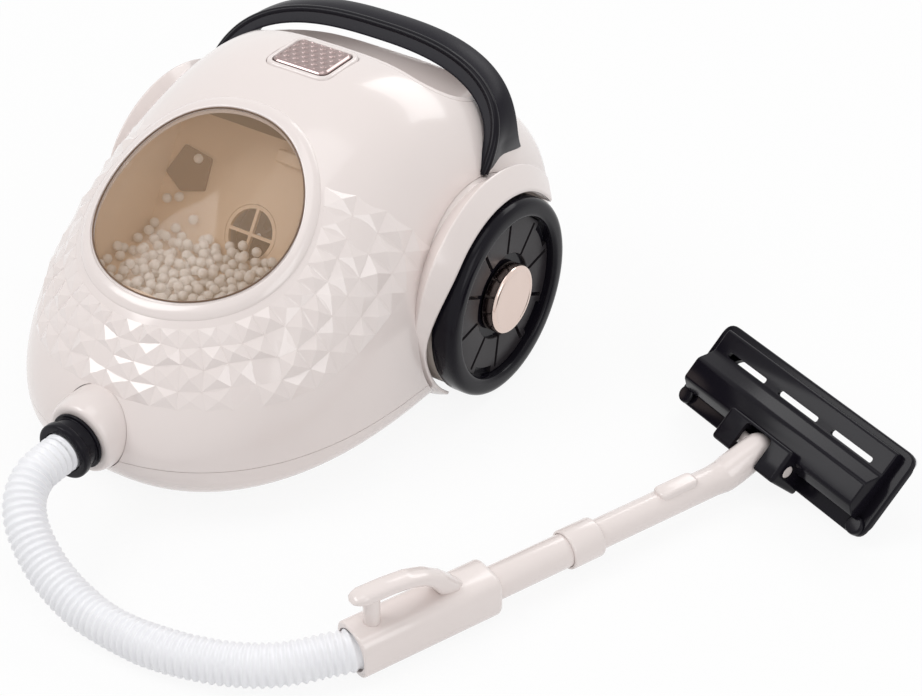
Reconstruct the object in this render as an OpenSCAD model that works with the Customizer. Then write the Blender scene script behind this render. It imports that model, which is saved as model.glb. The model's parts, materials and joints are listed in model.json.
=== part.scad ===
// Toy vacuum cleaner: an egg-shaped body on two large wheels and a small caster, with a clear dust window,
// a carry handle, a ribbed hose, a wand and a tilting floor head. Millimetres, +Z up, floor at z = 0,
// the wheel axle over y = 0, the nose towards -Y and the mid-plane at x = 0.

/* [Body] */
// Nose of the body, measured forward from the axle
nose_y = 138; // [120:1:150]
// Height of the middle of the nose
nose_z = 24; // [20:1:28]
// Top of the body, measured forward from the axle
crest_y = 10; // [6:1:14]
// Height of the top of the body
crest_z = 115; // [108:1:122]
// Tail of the body, measured back from the axle
tail_y = 70; // [64:1:76]
// Fall of the top line from the top of the body to the tail
tail_fall = 47; // [39:1:55]
// Half width of the body at its widest
half_w = 71; // [68:1:73]
// Widest place of the body, measured forward from the axle
widest_y = 27; // [20:1:36]
// Half width of the body at its tail
tail_half_w = 58; // [54:1:62]
// Ground clearance of the belly
belly_z = 3.5; // [2.5:0.1:5]
// Height of the seam between the upper and lower shells at the wheels
seam_z = 17; // [14:1:20]
// Wall of the body shells
wall = 2; // [1.6:0.1:2.6]

/* [Window and tray] */
// Middle of the window, measured forward from the axle
window_y = 73; // [70:1:76]
// Length of the window along the slope, seen from above
window_len = 66; // [60:1:68]
// Width of the window
window_w = 79; // [70:1:82]
// Thickness of the clear pane
pane_t = 1.6; // [1:0.1:2]
// Width of the dust tray
tray_w = 90; // [84:1:94]
// Wall of the dust tray
tray_t = 1.6; // [1.2:0.1:2.2]
// Diameter of a foam ball
ball_d = 3.8; // [3:0.1:4.2]

/* [Button] */
// Width of the power button
button_w = 23.6; // [20:0.1:26]
// Length of the power button
button_len = 18.4; // [16:0.1:20]
// Travel of the power button
button_travel = 2.5; // [1.5:0.1:3]

/* [Handle] */
// Half span of the carry handle at its feet
handle_half_w = 65; // [64:0.5:66]
// Depth of the handle's feet under the top of the body
foot_below = 34.4; // [32:0.1:34.6]
// Depth of the top of the handle under the top of the body
top_below = 4; // [0:0.5:6]
// Thickness of the handle's band
handle_t = 4.6; // [4:0.1:5.4]

/* [Wheels] */
// Diameter of a wheel
wheel_d = 76; // [70:1:78]
// Width of a wheel
wheel_w = 20; // [16:1:21]
// Outer face of a wheel, measured from the mid-plane
wheel_face_x = 81.6; // [80:0.1:84]
// Diameter of the dished middle of a wheel
dish_d = 61.6; // [56:0.1:64]
// Diameter of a hub cap
cap_d = 26.4; // [22:0.1:30]
// Diameter of the axle
axle_d = 4; // [3:0.1:5]
// Number of grooves in a wheel's dish
groove_count = 10; // [8:1:14]

/* [Hose and wand] */
// Outer diameter of the hose over its ribs
hose_d = 14.6; // [13.6:0.1:14.8]
// Number of ribs on the hose
rib_count = 72; // [50:1:90]
// Diameter of the hose collar's flanges
collar_d = 20.9; // [19:0.1:22]
// Heading of the wand from +X
wand_heading = 68; // [64:1:72]
// Width of the grip
grip_w = 16.6; // [16.2:0.1:18]
// Height of the grip
grip_h = 16.4; // [16.2:0.1:17]
// Length of the grip
grip_len = 53; // [48:1:58]
// Diameter of the rear tube
rear_tube_d = 11.8; // [11:0.1:12.4]
// Diameter of the front tube
front_tube_d = 10.6; // [10:0.1:11]
// Diameter of the tube coupler
coupler_d = 14; // [13.4:0.1:15]

/* [Floor head] */
// Length of the floor head across the wand
head_len = 97; // [88:1:106]
// Depth of the floor head along the wand
head_depth = 34; // [32:1:38]
// Tilt of the floor head, front up, as it lies
head_pitch = 46; // [40:1:50]
// Diameter of the head's pivot bar
pivot_d = 5; // [4.4:0.1:5.4]

/* [Hidden] */
$fn = 64;

// Clearances: between fixed pieces, between moving pieces and of a shaft in its bore; the overrun of cuts
seat_gap = 0.2;
move_gap = 0.4;
run_gap = 0.05;
over = 1;

ivory = [0.90, 0.86, 0.83];
black = [0.08, 0.07, 0.09];
rose_gold = [0.80, 0.62, 0.55];
peach = [0.85, 0.65, 0.48];
steel = [0.70, 0.70, 0.72];

// Body: every section across Y is two half superellipses that meet at the seam
top_shares = [1.6, 0.66];
plan_shares = [2.9, 0.48];
under_shares = [8.5, 0.5];
tail_drop_share = 2.2;
tail_taper_share = 2.5;
upper_shares = [1.8, 2.9, 4];
lower_share = 3;
tail_round_len = 12;
tail_round_share = 0.16;
tail_lift = 10;
tail_lift_share = 6;
nose_cut_share = 0.975;
nose_steps = 14;
tail_steps = 12;
arc_steps = 24;
rear_wrap = 4;
// Lean of the joint between hood and rear housing, and where it meets the handle's feet
lean = 42;
joint_y = 7;
handle_foot_z = crest_z - foot_below;
handle_top_z = crest_z - top_below;

function spow(v, p) = sign(v) * pow(abs(v), p);
function ahead(y) = max(0, (-crest_y - y) / (nose_y - crest_y));
function behind(y) = max(0, (y + crest_y) / (tail_y + crest_y));
function rounding(y) = 1 - tail_round_share * pow(max(0, (y - tail_y + tail_round_len) / tail_round_len), 2);
function seam(y) = seam_z + (nose_z - seam_z) * ahead(y);
function top_z(y) = y < -crest_y
  ? nose_z + (crest_z - nose_z) * pow(max(0, 1 - pow(ahead(y), top_shares[0])), top_shares[1])
  : crest_z - tail_fall * pow(behind(y), tail_drop_share);
function under_z(y) = y < -crest_y
  ? nose_z - (nose_z - belly_z) * pow(max(0, 1 - pow(ahead(y), under_shares[0])), under_shares[1])
  : belly_z + tail_lift * pow(behind(y), tail_lift_share);
function plan_w(y) = y < -widest_y
  ? half_w * pow(max(0, 1 - pow((-widest_y - y) / (nose_y - widest_y), plan_shares[0])), plan_shares[1])
  : half_w - (half_w - tail_half_w) * pow((y + widest_y) / (tail_y + widest_y), tail_taper_share);
function upper_power(y) = upper_shares[1] - (upper_shares[1] - upper_shares[0]) * ahead(y)
  + (upper_shares[2] - upper_shares[1]) * behind(y);

// One half section at y, drawn in by inset: side 1 is the upper half, side -1 the lower half
function section(y, at_y, inset, side) = [for (j = [0 : arc_steps])
  let (a = 180 * j / arc_steps,
       p = 2 / (side > 0 ? upper_power(y) : lower_share),
       w = plan_w(y) * rounding(y) - inset,
       base = seam(y) - (side > 0 ? 0 : seat_gap),
       reach = side > 0 ? (top_z(y) - base) * rounding(y) - inset : base - under_z(y) - inset)
  [w * spow(cos(a), p), at_y, base + side * reach * pow(sin(a), p)]];

nose_stations = [for (i = [0 : nose_steps])
  -crest_y - (nose_y - crest_y) * nose_cut_share * cos(90 * i / nose_steps)];
tail_stations = [for (i = [0 : tail_steps])
  tail_y - (tail_y + crest_y) * (1 - sin(90 * (tail_steps - i) / tail_steps))];

function flip(face, turn) = turn ? [for (k = [len(face) - 1 : -1 : 0]) face[k]] : face;
function quad(a, b, c, d, turn) = [flip([a, b, c], turn), flip([a, c, d], turn)];

// A hollow half body over the stations, closed by a cap at the first one and open at the last
module half_shell(stations, side, thick, inset, turn) {
  n = len(stations) - 1;
  m = arc_steps + 1;
  into = stations[1] > stations[0] ? thick : -thick;
  outer = [for (y = stations) each section(y, y, inset, side)];
  inner = [for (i = [0 : n])
    each section(stations[i], stations[i] + (i == 0 ? into : 0), inset + thick, side)];
  k = (n + 1) * m;
  polyhedron(concat(outer, inner), concat(
    [for (i = [0 : n - 1], j = [0 : arc_steps - 1])
      each quad(i * m + j, i * m + j + 1, (i + 1) * m + j + 1, (i + 1) * m + j, turn)],
    [for (i = [0 : n - 1], j = [0 : arc_steps - 1])
      each quad(k + i * m + j, k + i * m + j + 1, k + (i + 1) * m + j + 1, k + (i + 1) * m + j, !turn)],
    [for (i = [0 : n - 1]) each quad(i * m, (i + 1) * m, k + (i + 1) * m, k + i * m, turn)],
    [for (i = [0 : n - 1])
      each quad(i * m + m - 1, (i + 1) * m + m - 1, k + (i + 1) * m + m - 1, k + i * m + m - 1, !turn)],
    [for (j = [0 : arc_steps - 1])
      each quad(n * m + j, n * m + j + 1, k + n * m + j + 1, k + n * m + j, turn)],
    [flip([for (j = [0 : arc_steps]) j], !turn)],
    [flip([for (j = [0 : arc_steps]) k + j], turn)],
    quad(0, k, k + m - 1, m - 1, turn)));
}

// The solid upper half of the body, drawn in by inset, for trimming what lies under its skin
module upper_solid(stations, inset) {
  n = len(stations) - 1;
  m = arc_steps + 1;
  polyhedron([for (y = stations) each section(y, y, inset, 1)], concat(
    [for (i = [0 : n - 1], j = [0 : arc_steps - 1])
      each quad(i * m + j, i * m + j + 1, (i + 1) * m + j + 1, (i + 1) * m + j, false)],
    [for (i = [0 : n - 1]) each quad(i * m + m - 1, i * m, (i + 1) * m, (i + 1) * m + m - 1, false)],
    [flip([for (j = [0 : arc_steps]) j], true)],
    [[for (j = [0 : arc_steps]) n * m + j]]));
}

far = 4 * nose_y;

// All in front of the leaning joint plane, or behind it; what lies low before the wheels is in front
module joint_side(front) {
  module leaning() {
    translate([0, joint_y + (front ? -seat_gap / 2 : seat_gap / 2), handle_foot_z])
      rotate([-lean, 0, 0])
        translate([-far / 2, front ? -far : 0, -far / 2])
          cube([far, far, far]);
  }
  module low_front() {
    translate([-far / 2, -far - wheel_d / 4, -far / 2]) cube([far, far, far / 2 + wheel_d / 2]);
  }
  if (front) {
    leaning();
    low_front();
  } else difference() {
    leaning();
    low_front();
  }
}

// Egg-shaped outline of the window, seen from above: a half circle and a half ellipse by points
window_front_share = 0.51;
egg_steps = 32;
function egg(grow) = [for (i = [0 : egg_steps - 1])
  let (a = 360 * i / egg_steps,
       reach = (sin(a) < 0 ? window_front_share : 1 - window_front_share) * window_len)
  [(window_w / 2 + grow) * cos(a), -window_y + (reach + grow) * sin(a)]];

module window_prism(grow) {
  linear_extrude(height = crest_z + over) polygon(egg(grow));
}

// Button place
button_y = -5.6;
button_rise = 0.8;
button_top = crest_z + button_rise;
button_corner = 3;
bezel_rim = 2.4;
bezel_rise = 0.1;
bezel_h = 5;

module rounded_plate(w, l, h, r) {
  linear_extrude(height = h) union() {
    square([w - 2 * r, l], center = true);
    square([w, l - 2 * r], center = true);
    for (sx = [-1, 1], sy = [-1, 1]) translate([sx * (w / 2 - r), sy * (l / 2 - r)]) circle(r);
  }
}

module bezel_block(grow, h) {
  translate([0, button_y, crest_z + bezel_rise - h])
    rounded_plate(button_w + 2 * (bezel_rim + grow), button_len + 2 * (bezel_rim + grow), h,
      button_corner + bezel_rim + grow);
}

// Finger well under the handle: a round-ended trough across the body
well_y = 27;
well_drop = 7;
well_z = crest_z - well_drop;
well_r = 17.5;
well_half = 32;
well_t = 1.8;

module well_form(r) {
  translate([-well_half, well_y, well_z]) rotate([0, 90, 0]) cylinder(r = r, h = 2 * well_half);
  for (s = [-1, 1]) translate([s * well_half, well_y, well_z]) sphere(r);
}

// Wheel wells: a round cup behind each wheel, and a fender that flares out to a crease over part of the turn
wheel_r = wheel_d / 2;
arch_gap = 1.6;
arch_lip = 1;
arch_inset = 3.3;
fender_rise = 2.9;
crease_rise = 8.9;
step_inset = 15.6;
crease_inset = 9.1;
fender_from = 37;
fender_to = 231;
well_wall = 2;
well_clear = 3;
arch_r = wheel_r + arch_gap;
step_r = arch_r + fender_rise;
crease_r = arch_r + crease_rise;
wheel_in_x = wheel_face_x - wheel_w;
well_back_x = wheel_in_x - well_clear - well_wall;
step_at = wheel_face_x - step_inset - well_back_x;
crease_at = wheel_face_x - crease_inset - well_back_x;
arch_at = wheel_face_x - arch_inset - well_back_x;

module on_axle(side, x) {
  translate([side * x, 0, wheel_r]) rotate([0, side * 90, 0]) children();
}

// The space a wheel well takes from the body shells
module wheel_room(side) {
  on_axle(side, well_back_x) rotate_extrude()
    polygon([[0, -seat_gap], [step_r + seat_gap, -seat_gap], [step_r + seat_gap, step_at],
             [crease_r + seat_gap, crease_at], [crease_r + seat_gap, arch_at], [0, arch_at]]);
}

// Hose socket and collar
socket_z = 31.5;
socket_out = 14;
socket_front_y = -142.4;
socket_len = 16;
collar_neck = 9.2;
hose_fit = hose_d / 2 + seat_gap;
collar_bore = 5.8;
collar_back = 1.2;
collar_front = 3.2;
collar_gap = 3.8;
hose_plug = 6;

module along_y(y0, r, len) {
  translate([0, y0, socket_z]) rotate([-90, 0, 0]) cylinder(r = r, h = len);
}

// Caster
caster_y = -84;
caster_wheel_d = 15;
caster_wheel_w = 7;
caster_trail = 4;
caster_room_r = 16.5;
caster_cup_t = 1.8;
caster_roof_z = 18;
caster_stem_d = 6;
caster_boss_h = 12;

// Battery bay
bay_t = 1.6;
door_t = 1.6;
cell_d = 14.2;
cell_len = 50;
cell_gap = 0.4;
contact_len = 3.4;
post_d = 6;
post_room = 5.2;
bay_spare = 2.6;
bay_w = cell_len + 2 * (bay_t + contact_len);
bay_len = 2 * (bay_t + cell_d) + 3 * cell_gap + post_d + post_room;
bay_h = cell_d + bay_t + door_t + bay_spare;

module hood() {
  color(ivory)
    difference() {
      intersection() {
        half_shell(
          concat(nose_stations, [for (i = [1 : tail_steps - rear_wrap]) tail_stations[tail_steps - i]]),
          1, wall, 0, false);
        joint_side(true);
      }
      window_prism(0);
      bezel_block(seat_gap, crest_z - seam_z);
      well_form(well_r + well_t + seat_gap);
      for (s = [-1, 1]) wheel_room(s);
      along_y(socket_front_y, socket_out + seat_gap, socket_len + nose_y);
    }
}

module base_tub() {
  color(ivory)
    difference() {
      half_shell(concat(nose_stations, [for (i = [1 : tail_steps]) tail_stations[tail_steps - i]]),
        -1, wall, 0, true);
      for (s = [-1, 1]) wheel_room(s);
      along_y(socket_front_y, socket_out + seat_gap, socket_len + nose_y);
      translate([0, caster_y, -over]) cylinder(r = caster_room_r + caster_cup_t + seat_gap, h = seam_z);
      translate([-bay_w / 2 - seat_gap, -bay_len / 2 - seat_gap, -over])
        cube([bay_w + 2 * seat_gap, bay_len + 2 * seat_gap, seam_z]);
    }
}
module rear_housing() {
  color(ivory)
    difference() {
      intersection() {
        half_shell(concat(tail_stations, [for (i = [1 : rear_wrap]) nose_stations[nose_steps - i]]),
          1, wall, 0, true);
        joint_side(false);
      }
      well_form(well_r + well_t + seat_gap);
      for (s = [-1, 1]) wheel_room(s);
      handle_form(seat_gap);
    }
}
module handle_well() {
  color(ivory)
    intersection() {
      difference() {
        well_form(well_r + well_t);
        well_form(well_r);
      }
      upper_solid([for (i = [0 : tail_steps]) tail_stations[tail_steps - i]], 0);
    }
}

// Carry handle: a band over a half superellipse, with its front face on the leaning joint and wedge feet
handle_share = 2.6;
handle_steps = 40;
handle_crown = 0.8;
handle_top_depth = 11;
handle_foot_depth = 33;
handle_tuck = 5;
handle_drop = 5.4;
handle_ends_share = 3;

function handle_front(z) = joint_y + seat_gap + (z - handle_foot_z) * tan(lean);
function handle_ring(a, grow) =
  let (c = spow(cos(a), 2 / handle_share), s = pow(sin(a), 2 / handle_share),
       e = pow(1 - s, handle_ends_share), drop = handle_drop * e,
       rise = handle_top_z - handle_foot_z, base = handle_foot_z + seat_gap - grow,
       z = base + (rise + 2 * grow) * s, inner = base + (rise - handle_t) * s,
       w = handle_half_w + grow, wi = handle_half_w - handle_t - grow, tuck = handle_tuck * e,
       depth = handle_top_depth + (handle_foot_depth - handle_top_depth) * e + grow)
  [[w * c, handle_front(z) - grow, z],
   [(w + handle_crown - tuck / 2) * c, handle_front(z) + depth / 2, z + handle_crown * s - drop / 2],
   [(w - tuck) * c, handle_front(z) + depth, z - drop],
   [(wi - tuck) * c, handle_front(z) + depth, inner - drop],
   [wi * c, handle_front(inner) - grow, inner]];

module handle_form(grow) {
  rings = [for (j = [0 : handle_steps]) handle_ring(180 * j / handle_steps, grow)];
  m = len(rings[0]);
  polyhedron([for (r = rings) each r], concat(
    [for (i = [0 : handle_steps - 1], j = [0 : m - 1])
      each quad(i * m + j, i * m + (j + 1) % m, (i + 1) * m + (j + 1) % m, (i + 1) * m + j, true)],
    [[for (j = [0 : m - 1]) j]],
    [flip([for (j = [0 : m - 1]) handle_steps * m + j], true)]));
}

module carry_handle() {
  color(black) handle_form(0);
}

module window_pane() {
  color([0.75, 0.55, 0.40, 0.45])
    intersection() {
      half_shell(nose_stations, 1, pane_t, 0, false);
      window_prism(-seat_gap);
    }
}

// Dust tray: floor, front wall, side walls and a back slope, all trimmed under the hood's skin
tray_front_y = -106;
tray_floor_z = 52;
tray_slope_y = -53.6;
tray_slope = 55;
tray_slope_len = 48;
grille_up = 12.2;
grille_r = 11;

module slope_frame(up) {
  translate([0, tray_slope_y, tray_floor_z]) rotate([tray_slope, 0, 0]) translate([0, up, 0]) children();
}

module across_body(w) {
  translate([-w / 2, 0, 0]) rotate([90, 0, 90]) linear_extrude(height = w) children();
}

module dust_tray() {
  way = [cos(tray_slope), sin(tray_slope)];
  foot = [tray_slope_y, tray_floor_z];
  end = foot + tray_slope_len * way;
  outer_end = end + tray_t * [way[1], -way[0]];
  inner_end = end + over * way;
  outer_foot = [tray_slope_y + tray_t * tan(tray_slope / 2), tray_floor_z - tray_t];
  color(peach)
    difference() {
      intersection() {
        across_body(tray_w)
          polygon([[tray_front_y, tray_floor_z - tray_t], outer_foot, outer_end, end, [end[0], crest_z],
                   [tray_front_y, crest_z]]);
        upper_solid(nose_stations, wall + seat_gap);
      }
      across_body(tray_w - 2 * tray_t)
        polygon([[tray_front_y + tray_t, tray_floor_z], foot, inner_end, [inner_end[0], crest_z + over],
                 [tray_front_y + tray_t, crest_z + over]]);
      slope_frame(grille_up) translate([0, 0, -tray_t - over]) cylinder(r = grille_r, h = tray_t + 2 * over);
    }
}

grille_rim = 1.6;
grille_bar = 1.2;
module fan_grille() {
  color(peach) slope_frame(grille_up) translate([0, 0, -tray_t]) {
    difference() {
      cylinder(r = grille_r - seat_gap, h = tray_t);
      translate([0, 0, -over]) cylinder(r = grille_r - grille_rim, h = tray_t + 2 * over);
    }
    for (a = [0, 90]) rotate([0, 0, a])
      translate([-grille_r + grille_rim / 2, -grille_bar / 2, 0])
        cube([2 * grille_r - grille_rim, grille_bar, tray_t]);
  }
}

// Foam balls: two staggered layers heaped on the tray floor
ball_gap = 0.3;
ball_pitch = ball_d + ball_gap;
ball_rows = 7;
ball_columns = 11;
heap_y = tray_front_y + tray_t + ball_d;
module foam_balls() {
  color([0.93, 0.92, 0.90])
    for (layer = [0, 1], row = [0 : ball_rows - 1 - 2 * layer], k = [0 : ball_columns - 1 - 3 * layer])
      translate([(k - (ball_columns - 3 * layer) / 2 + (row % 2) / 2) * ball_pitch,
                 heap_y + (row + layer) * ball_pitch,
                 tray_floor_z + ball_d / 2 + ball_gap / 2 + layer * ball_pitch])
        sphere(ball_d / 2);
}

// Fan behind the grille: impeller, shaft, motor and the cup that carries it
fan_r = 13;
fan_hub_r = 3.2;
fan_disc_t = 1.4;
fan_blade_t = 1;
fan_blade_h = 5;
fan_blades = 8;
fan_z = -12;
shaft_d = 2;
cup_in_r = 15;
cup_t = 1.6;
cup_len = 15;
cup_floor = 2;
motor_d = 20;
motor_len = 19;
motor_nose_d = 6;

module fan_frame() {
  slope_frame(grille_up) children();
}

module impeller() {
  color(black) fan_frame() translate([0, 0, fan_z]) difference() {
    union() {
      cylinder(r = fan_r, h = fan_disc_t);
      cylinder(r = fan_hub_r, h = fan_disc_t + fan_blade_h);
      for (i = [0 : fan_blades - 1]) rotate([0, 0, 360 * i / fan_blades])
        translate([fan_hub_r - fan_blade_t, -fan_blade_t / 2, 0])
          cube([fan_r - fan_hub_r, fan_blade_t, fan_disc_t + fan_blade_h]);
    }
    translate([0, 0, -over]) cylinder(d = shaft_d, h = fan_disc_t + fan_blade_h + 2 * over);
  }
}

module motor_shaft() {
  color(steel) fan_frame() translate([0, 0, -tray_t - cup_len - motor_len / 2])
    cylinder(d = shaft_d, h = tray_t + cup_len + motor_len / 2 + fan_z + fan_disc_t + fan_blade_h);
}

module fan_motor() {
  base = -tray_t - seat_gap - cup_len;
  color(steel) fan_frame() difference() {
    union() {
      translate([0, 0, base - motor_len]) cylinder(d = motor_d, h = motor_len);
      translate([0, 0, base - over]) cylinder(d = motor_nose_d, h = over + cup_floor);
    }
    translate([0, 0, base - motor_len / 2 - over])
      cylinder(d = shaft_d + 2 * run_gap, h = motor_len);
  }
}

module motor_bracket() {
  color(ivory) fan_frame() translate([0, 0, -tray_t - seat_gap - cup_len]) difference() {
    cylinder(r = cup_in_r + cup_t, h = cup_len);
    translate([0, 0, cup_floor]) cylinder(r = cup_in_r, h = cup_len);
    translate([0, 0, -over]) cylinder(d = motor_nose_d + 2 * seat_gap, h = cup_len);
  }
}

// Power button with its bezel, spring, switch and circuit board
button_h = 7;
stem_d = 5;
switch_w = 10;
switch_h = 4;
plunger_d = 3;
plunger_h = 2;
board_t = 1.6;
board_drop = 22;
board_z = crest_z - board_drop;
leg_t = 1.8;
leg_len = 8;
spring_d = 9;
spring_wire = 0.8;

module power_button() {
  stem_end = board_z + board_t + switch_h + plunger_h + button_travel + seat_gap;
  color(rose_gold) {
    translate([0, button_y, button_top - button_h])
      rounded_plate(button_w, button_len, button_h, button_corner);
    translate([0, button_y, stem_end]) cylinder(d = stem_d, h = button_top - over - stem_end);
  }
}

module button_bezel() {
  leg_x = button_w / 2 + move_gap;
  leg_end = board_z + board_t;
  color(ivory) {
    difference() {
      bezel_block(0, bezel_h);
      translate([0, button_y, crest_z - bezel_h - over])
        rounded_plate(button_w + 2 * move_gap, button_len + 2 * move_gap, bezel_h + 2 * over,
          button_corner + move_gap);
    }
    for (s = [-1, 1]) translate([s > 0 ? leg_x : -leg_x - leg_t, button_y - leg_len / 2, leg_end])
      cube([leg_t, leg_len, crest_z - bezel_h + over - leg_end]);
  }
}

module button_spring() {
  base = board_z + board_t + switch_h;
  color(steel) translate([0, button_y, base]) difference() {
    cylinder(d = spring_d, h = button_top - button_h - base);
    translate([0, 0, -over]) cylinder(d = spring_d - 2 * spring_wire, h = crest_z);
  }
}

module push_switch() {
  color(black) {
    translate([-switch_w / 2, button_y - switch_w / 2, board_z + board_t])
      cube([switch_w, switch_w, switch_h]);
    translate([0, button_y, board_z + board_t]) cylinder(d = plunger_d, h = switch_h + plunger_h);
  }
}

module circuit_board() {
  color([0.15, 0.40, 0.22])
    translate([-button_w / 2 - bezel_rim, button_y - button_len / 2, board_z])
      cube([button_w + 2 * bezel_rim, button_len, board_t]);
}

// Battery bay under the axle
screw_d = 2.4;
screw_head_d = 4.8;
screw_head_h = 1;
cells_y = -bay_len / 2 + bay_t + cell_gap + cell_d;
post_y = bay_len / 2 - bay_t - post_d / 2;

module battery_box() {
  color(ivory) {
    difference() {
      translate([-bay_w / 2, -bay_len / 2, belly_z]) cube([bay_w, bay_len, bay_h]);
      translate([-bay_w / 2 + bay_t, -bay_len / 2 + bay_t, belly_z - over])
        cube([bay_w - 2 * bay_t, bay_len - 2 * bay_t, bay_h + over - bay_t]);
    }
    difference() {
      translate([0, post_y, belly_z + door_t + seat_gap])
        cylinder(d = post_d, h = bay_h - door_t - seat_gap - bay_t / 2);
      translate([0, post_y, belly_z]) cylinder(d = screw_d, h = bay_h - 2 * bay_t);
    }
  }
}

module batteries() {
  color([0.20, 0.22, 0.28])
    for (s = [-1, 1])
      translate([-cell_len / 2, cells_y + s * (cell_d + cell_gap) / 2,
                 belly_z + door_t + seat_gap + cell_d / 2])
        rotate([0, 90, 0]) cylinder(d = cell_d, h = cell_len);
}

module battery_contacts() {
  color(steel)
    for (s = [-1, 1], k = [-1, 1])
      translate([s > 0 ? cell_len / 2 : -cell_len / 2 - contact_len,
                 cells_y + k * (cell_d + cell_gap) / 2 - cell_d / 4,
                 belly_z + door_t + 2 * seat_gap + cell_d / 4])
        cube([contact_len, cell_d / 2, cell_d / 2]);
}

module battery_door() {
  w = bay_w - 2 * bay_t - 2 * seat_gap;
  l = bay_len - 2 * bay_t - 2 * seat_gap;
  color(ivory) difference() {
    translate([-w / 2, -l / 2, belly_z]) cube([w, l, door_t]);
    translate([0, post_y, belly_z - over]) cylinder(d = screw_d + 2 * seat_gap, h = door_t + 2 * over);
    translate([0, post_y, belly_z - over]) cylinder(d = screw_head_d + 2 * seat_gap, h = screw_head_h + over);
  }
}

module door_screw() {
  color(steel) {
    translate([0, post_y, belly_z]) cylinder(d = screw_head_d, h = screw_head_h);
    translate([0, post_y, belly_z]) cylinder(d = screw_d, h = bay_h - 3 * bay_t);
  }
}

// Wheels, hub caps and axle
dish_depth = 3.6;
dish_plate = 4.4;
rim_round = 3;
hub_d = 16;
groove_w = 1.8;
groove_h = 1.4;
groove_in_r = 14.5;
groove_out_r = 29.5;
cap_rise = 1.4;
cap_pocket_d = 12;
cap_pocket_h = 3;
clip_d = 9;
clip_t = 0.8;
bearing_d = 10;
bearing_len = 6;
well_floor_z = 7;
dish_z = wheel_w - dish_depth;
axle_end = wheel_in_x + dish_z + seat_gap + clip_t;

module wheel(side) {
  on_axle(side, wheel_in_x) difference() {
    union() {
      rotate_extrude() {
        difference() {
          translate([dish_d / 2, 0]) square([wheel_r - dish_d / 2, wheel_w]);
          translate([wheel_r - rim_round, wheel_w - rim_round]) difference() {
            square(rim_round + over);
            circle(rim_round);
          }
        }
      }
      translate([0, 0, dish_z - dish_plate]) cylinder(r = dish_d / 2 + over, h = dish_plate);
      cylinder(d = hub_d, h = dish_z - over);
    }
    translate([0, 0, -over]) cylinder(d = axle_d + 2 * run_gap, h = wheel_w + 2 * over);
    for (i = [0 : groove_count - 1]) rotate([0, 0, 360 * i / groove_count])
      translate([groove_in_r, -groove_w / 2, dish_z - groove_h])
        cube([groove_out_r - groove_in_r, groove_w, groove_h + over]);
  }
}

module hub_cap(side) {
  on_axle(side, wheel_in_x + dish_z) difference() {
    cylinder(d = cap_d, h = dish_depth + cap_rise);
    translate([0, 0, -over]) cylinder(d = cap_pocket_d, h = cap_pocket_h + over);
  }
}

module wheel_right() {
  color(black) wheel(1);
}

module wheel_left() {
  color(black) wheel(-1);
}

module hub_cap_right() {
  color(rose_gold) hub_cap(1);
}

module hub_cap_left() {
  color(rose_gold) hub_cap(-1);
}

module axle() {
  color(steel) on_axle(1, -axle_end) cylinder(d = axle_d, h = 2 * axle_end);
}

module axle_clips() {
  color(steel) for (s = [-1, 1]) on_axle(s, axle_end - clip_t) difference() {
    cylinder(d = clip_d, h = clip_t);
    translate([0, 0, -over]) cylinder(d = axle_d, h = clip_t + 2 * over);
  }
}

// The sector of a turn without a fender, seen along the axle from outside
module fender_gap(side) {
  translate([0, 0, step_at]) linear_extrude(height = wheel_w)
    polygon(concat([[0, 0]], [for (k = [0 : 4])
      let (turn = fender_to + (360 + fender_from - fender_to) * k / 4, a = side > 0 ? turn + 90 : 90 - turn)
      2 * crease_r * [cos(a), sin(a)]]));
}

module wheel_well(side) {
  difference() {
    on_axle(side, well_back_x) difference() {
      union() {
        rotate_extrude()
          polygon([[0, 0], [step_r, 0], [step_r, step_at], [crease_r, crease_at],
                   [arch_r + arch_lip, arch_at], [arch_r, arch_at], [arch_r, well_wall], [0, well_wall]]);
        translate([0, 0, -bearing_len]) cylinder(d = bearing_d, h = bearing_len + well_wall / 2);
      }
      translate([0, 0, -bearing_len - over])
        cylinder(d = axle_d + 2 * run_gap, h = bearing_len + well_wall + 2 * over);
      fender_gap(side);
    }
    translate([-far / 2, -far / 2, well_floor_z - far]) cube([far, far, far]);
  }
}

module wheel_well_right() {
  color(ivory) wheel_well(1);
}

module wheel_well_left() {
  color(ivory) wheel_well(-1);
}

// Front caster: cup, swivelling fork, pin and wheel
fork_t = 1.6;
fork_plate_t = 2;
caster_pin_d = 2.4;
caster_r = caster_wheel_d / 2;
caster_cheek_x = caster_wheel_w / 2 + move_gap;
caster_axis_y = caster_y + caster_trail;

module caster_housing() {
  color(ivory) translate([0, caster_y, 0]) difference() {
    union() {
      translate([0, 0, belly_z])
        cylinder(r = caster_room_r + caster_cup_t, h = caster_roof_z + caster_cup_t - belly_z);
      translate([0, 0, caster_roof_z]) cylinder(d = 2 * caster_stem_d, h = caster_boss_h);
    }
    translate([0, 0, belly_z - over]) cylinder(r = caster_room_r, h = caster_roof_z + over - belly_z);
    translate([0, 0, caster_roof_z - over])
      cylinder(d = caster_stem_d + 2 * run_gap, h = caster_boss_h + 2 * over);
  }
}

module caster_fork() {
  plate_z = caster_roof_z - move_gap - fork_plate_t;
  color(black) difference() {
    union() {
      translate([0, caster_y, plate_z]) cylinder(d = caster_stem_d, h = caster_boss_h + fork_plate_t);
      translate([0, caster_y, plate_z])
        cylinder(r = caster_cheek_x + fork_t + caster_trail / 2, h = fork_plate_t);
      for (s = [-1, 1])
        translate([s > 0 ? caster_cheek_x : -caster_cheek_x - fork_t, caster_axis_y - caster_r / 2,
                   caster_r / 2])
          cube([fork_t, caster_r, plate_z + fork_plate_t / 2 - caster_r / 2]);
    }
    translate([-half_w, caster_axis_y, caster_r]) rotate([0, 90, 0])
      cylinder(d = caster_pin_d, h = 2 * half_w);
  }
}

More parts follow.
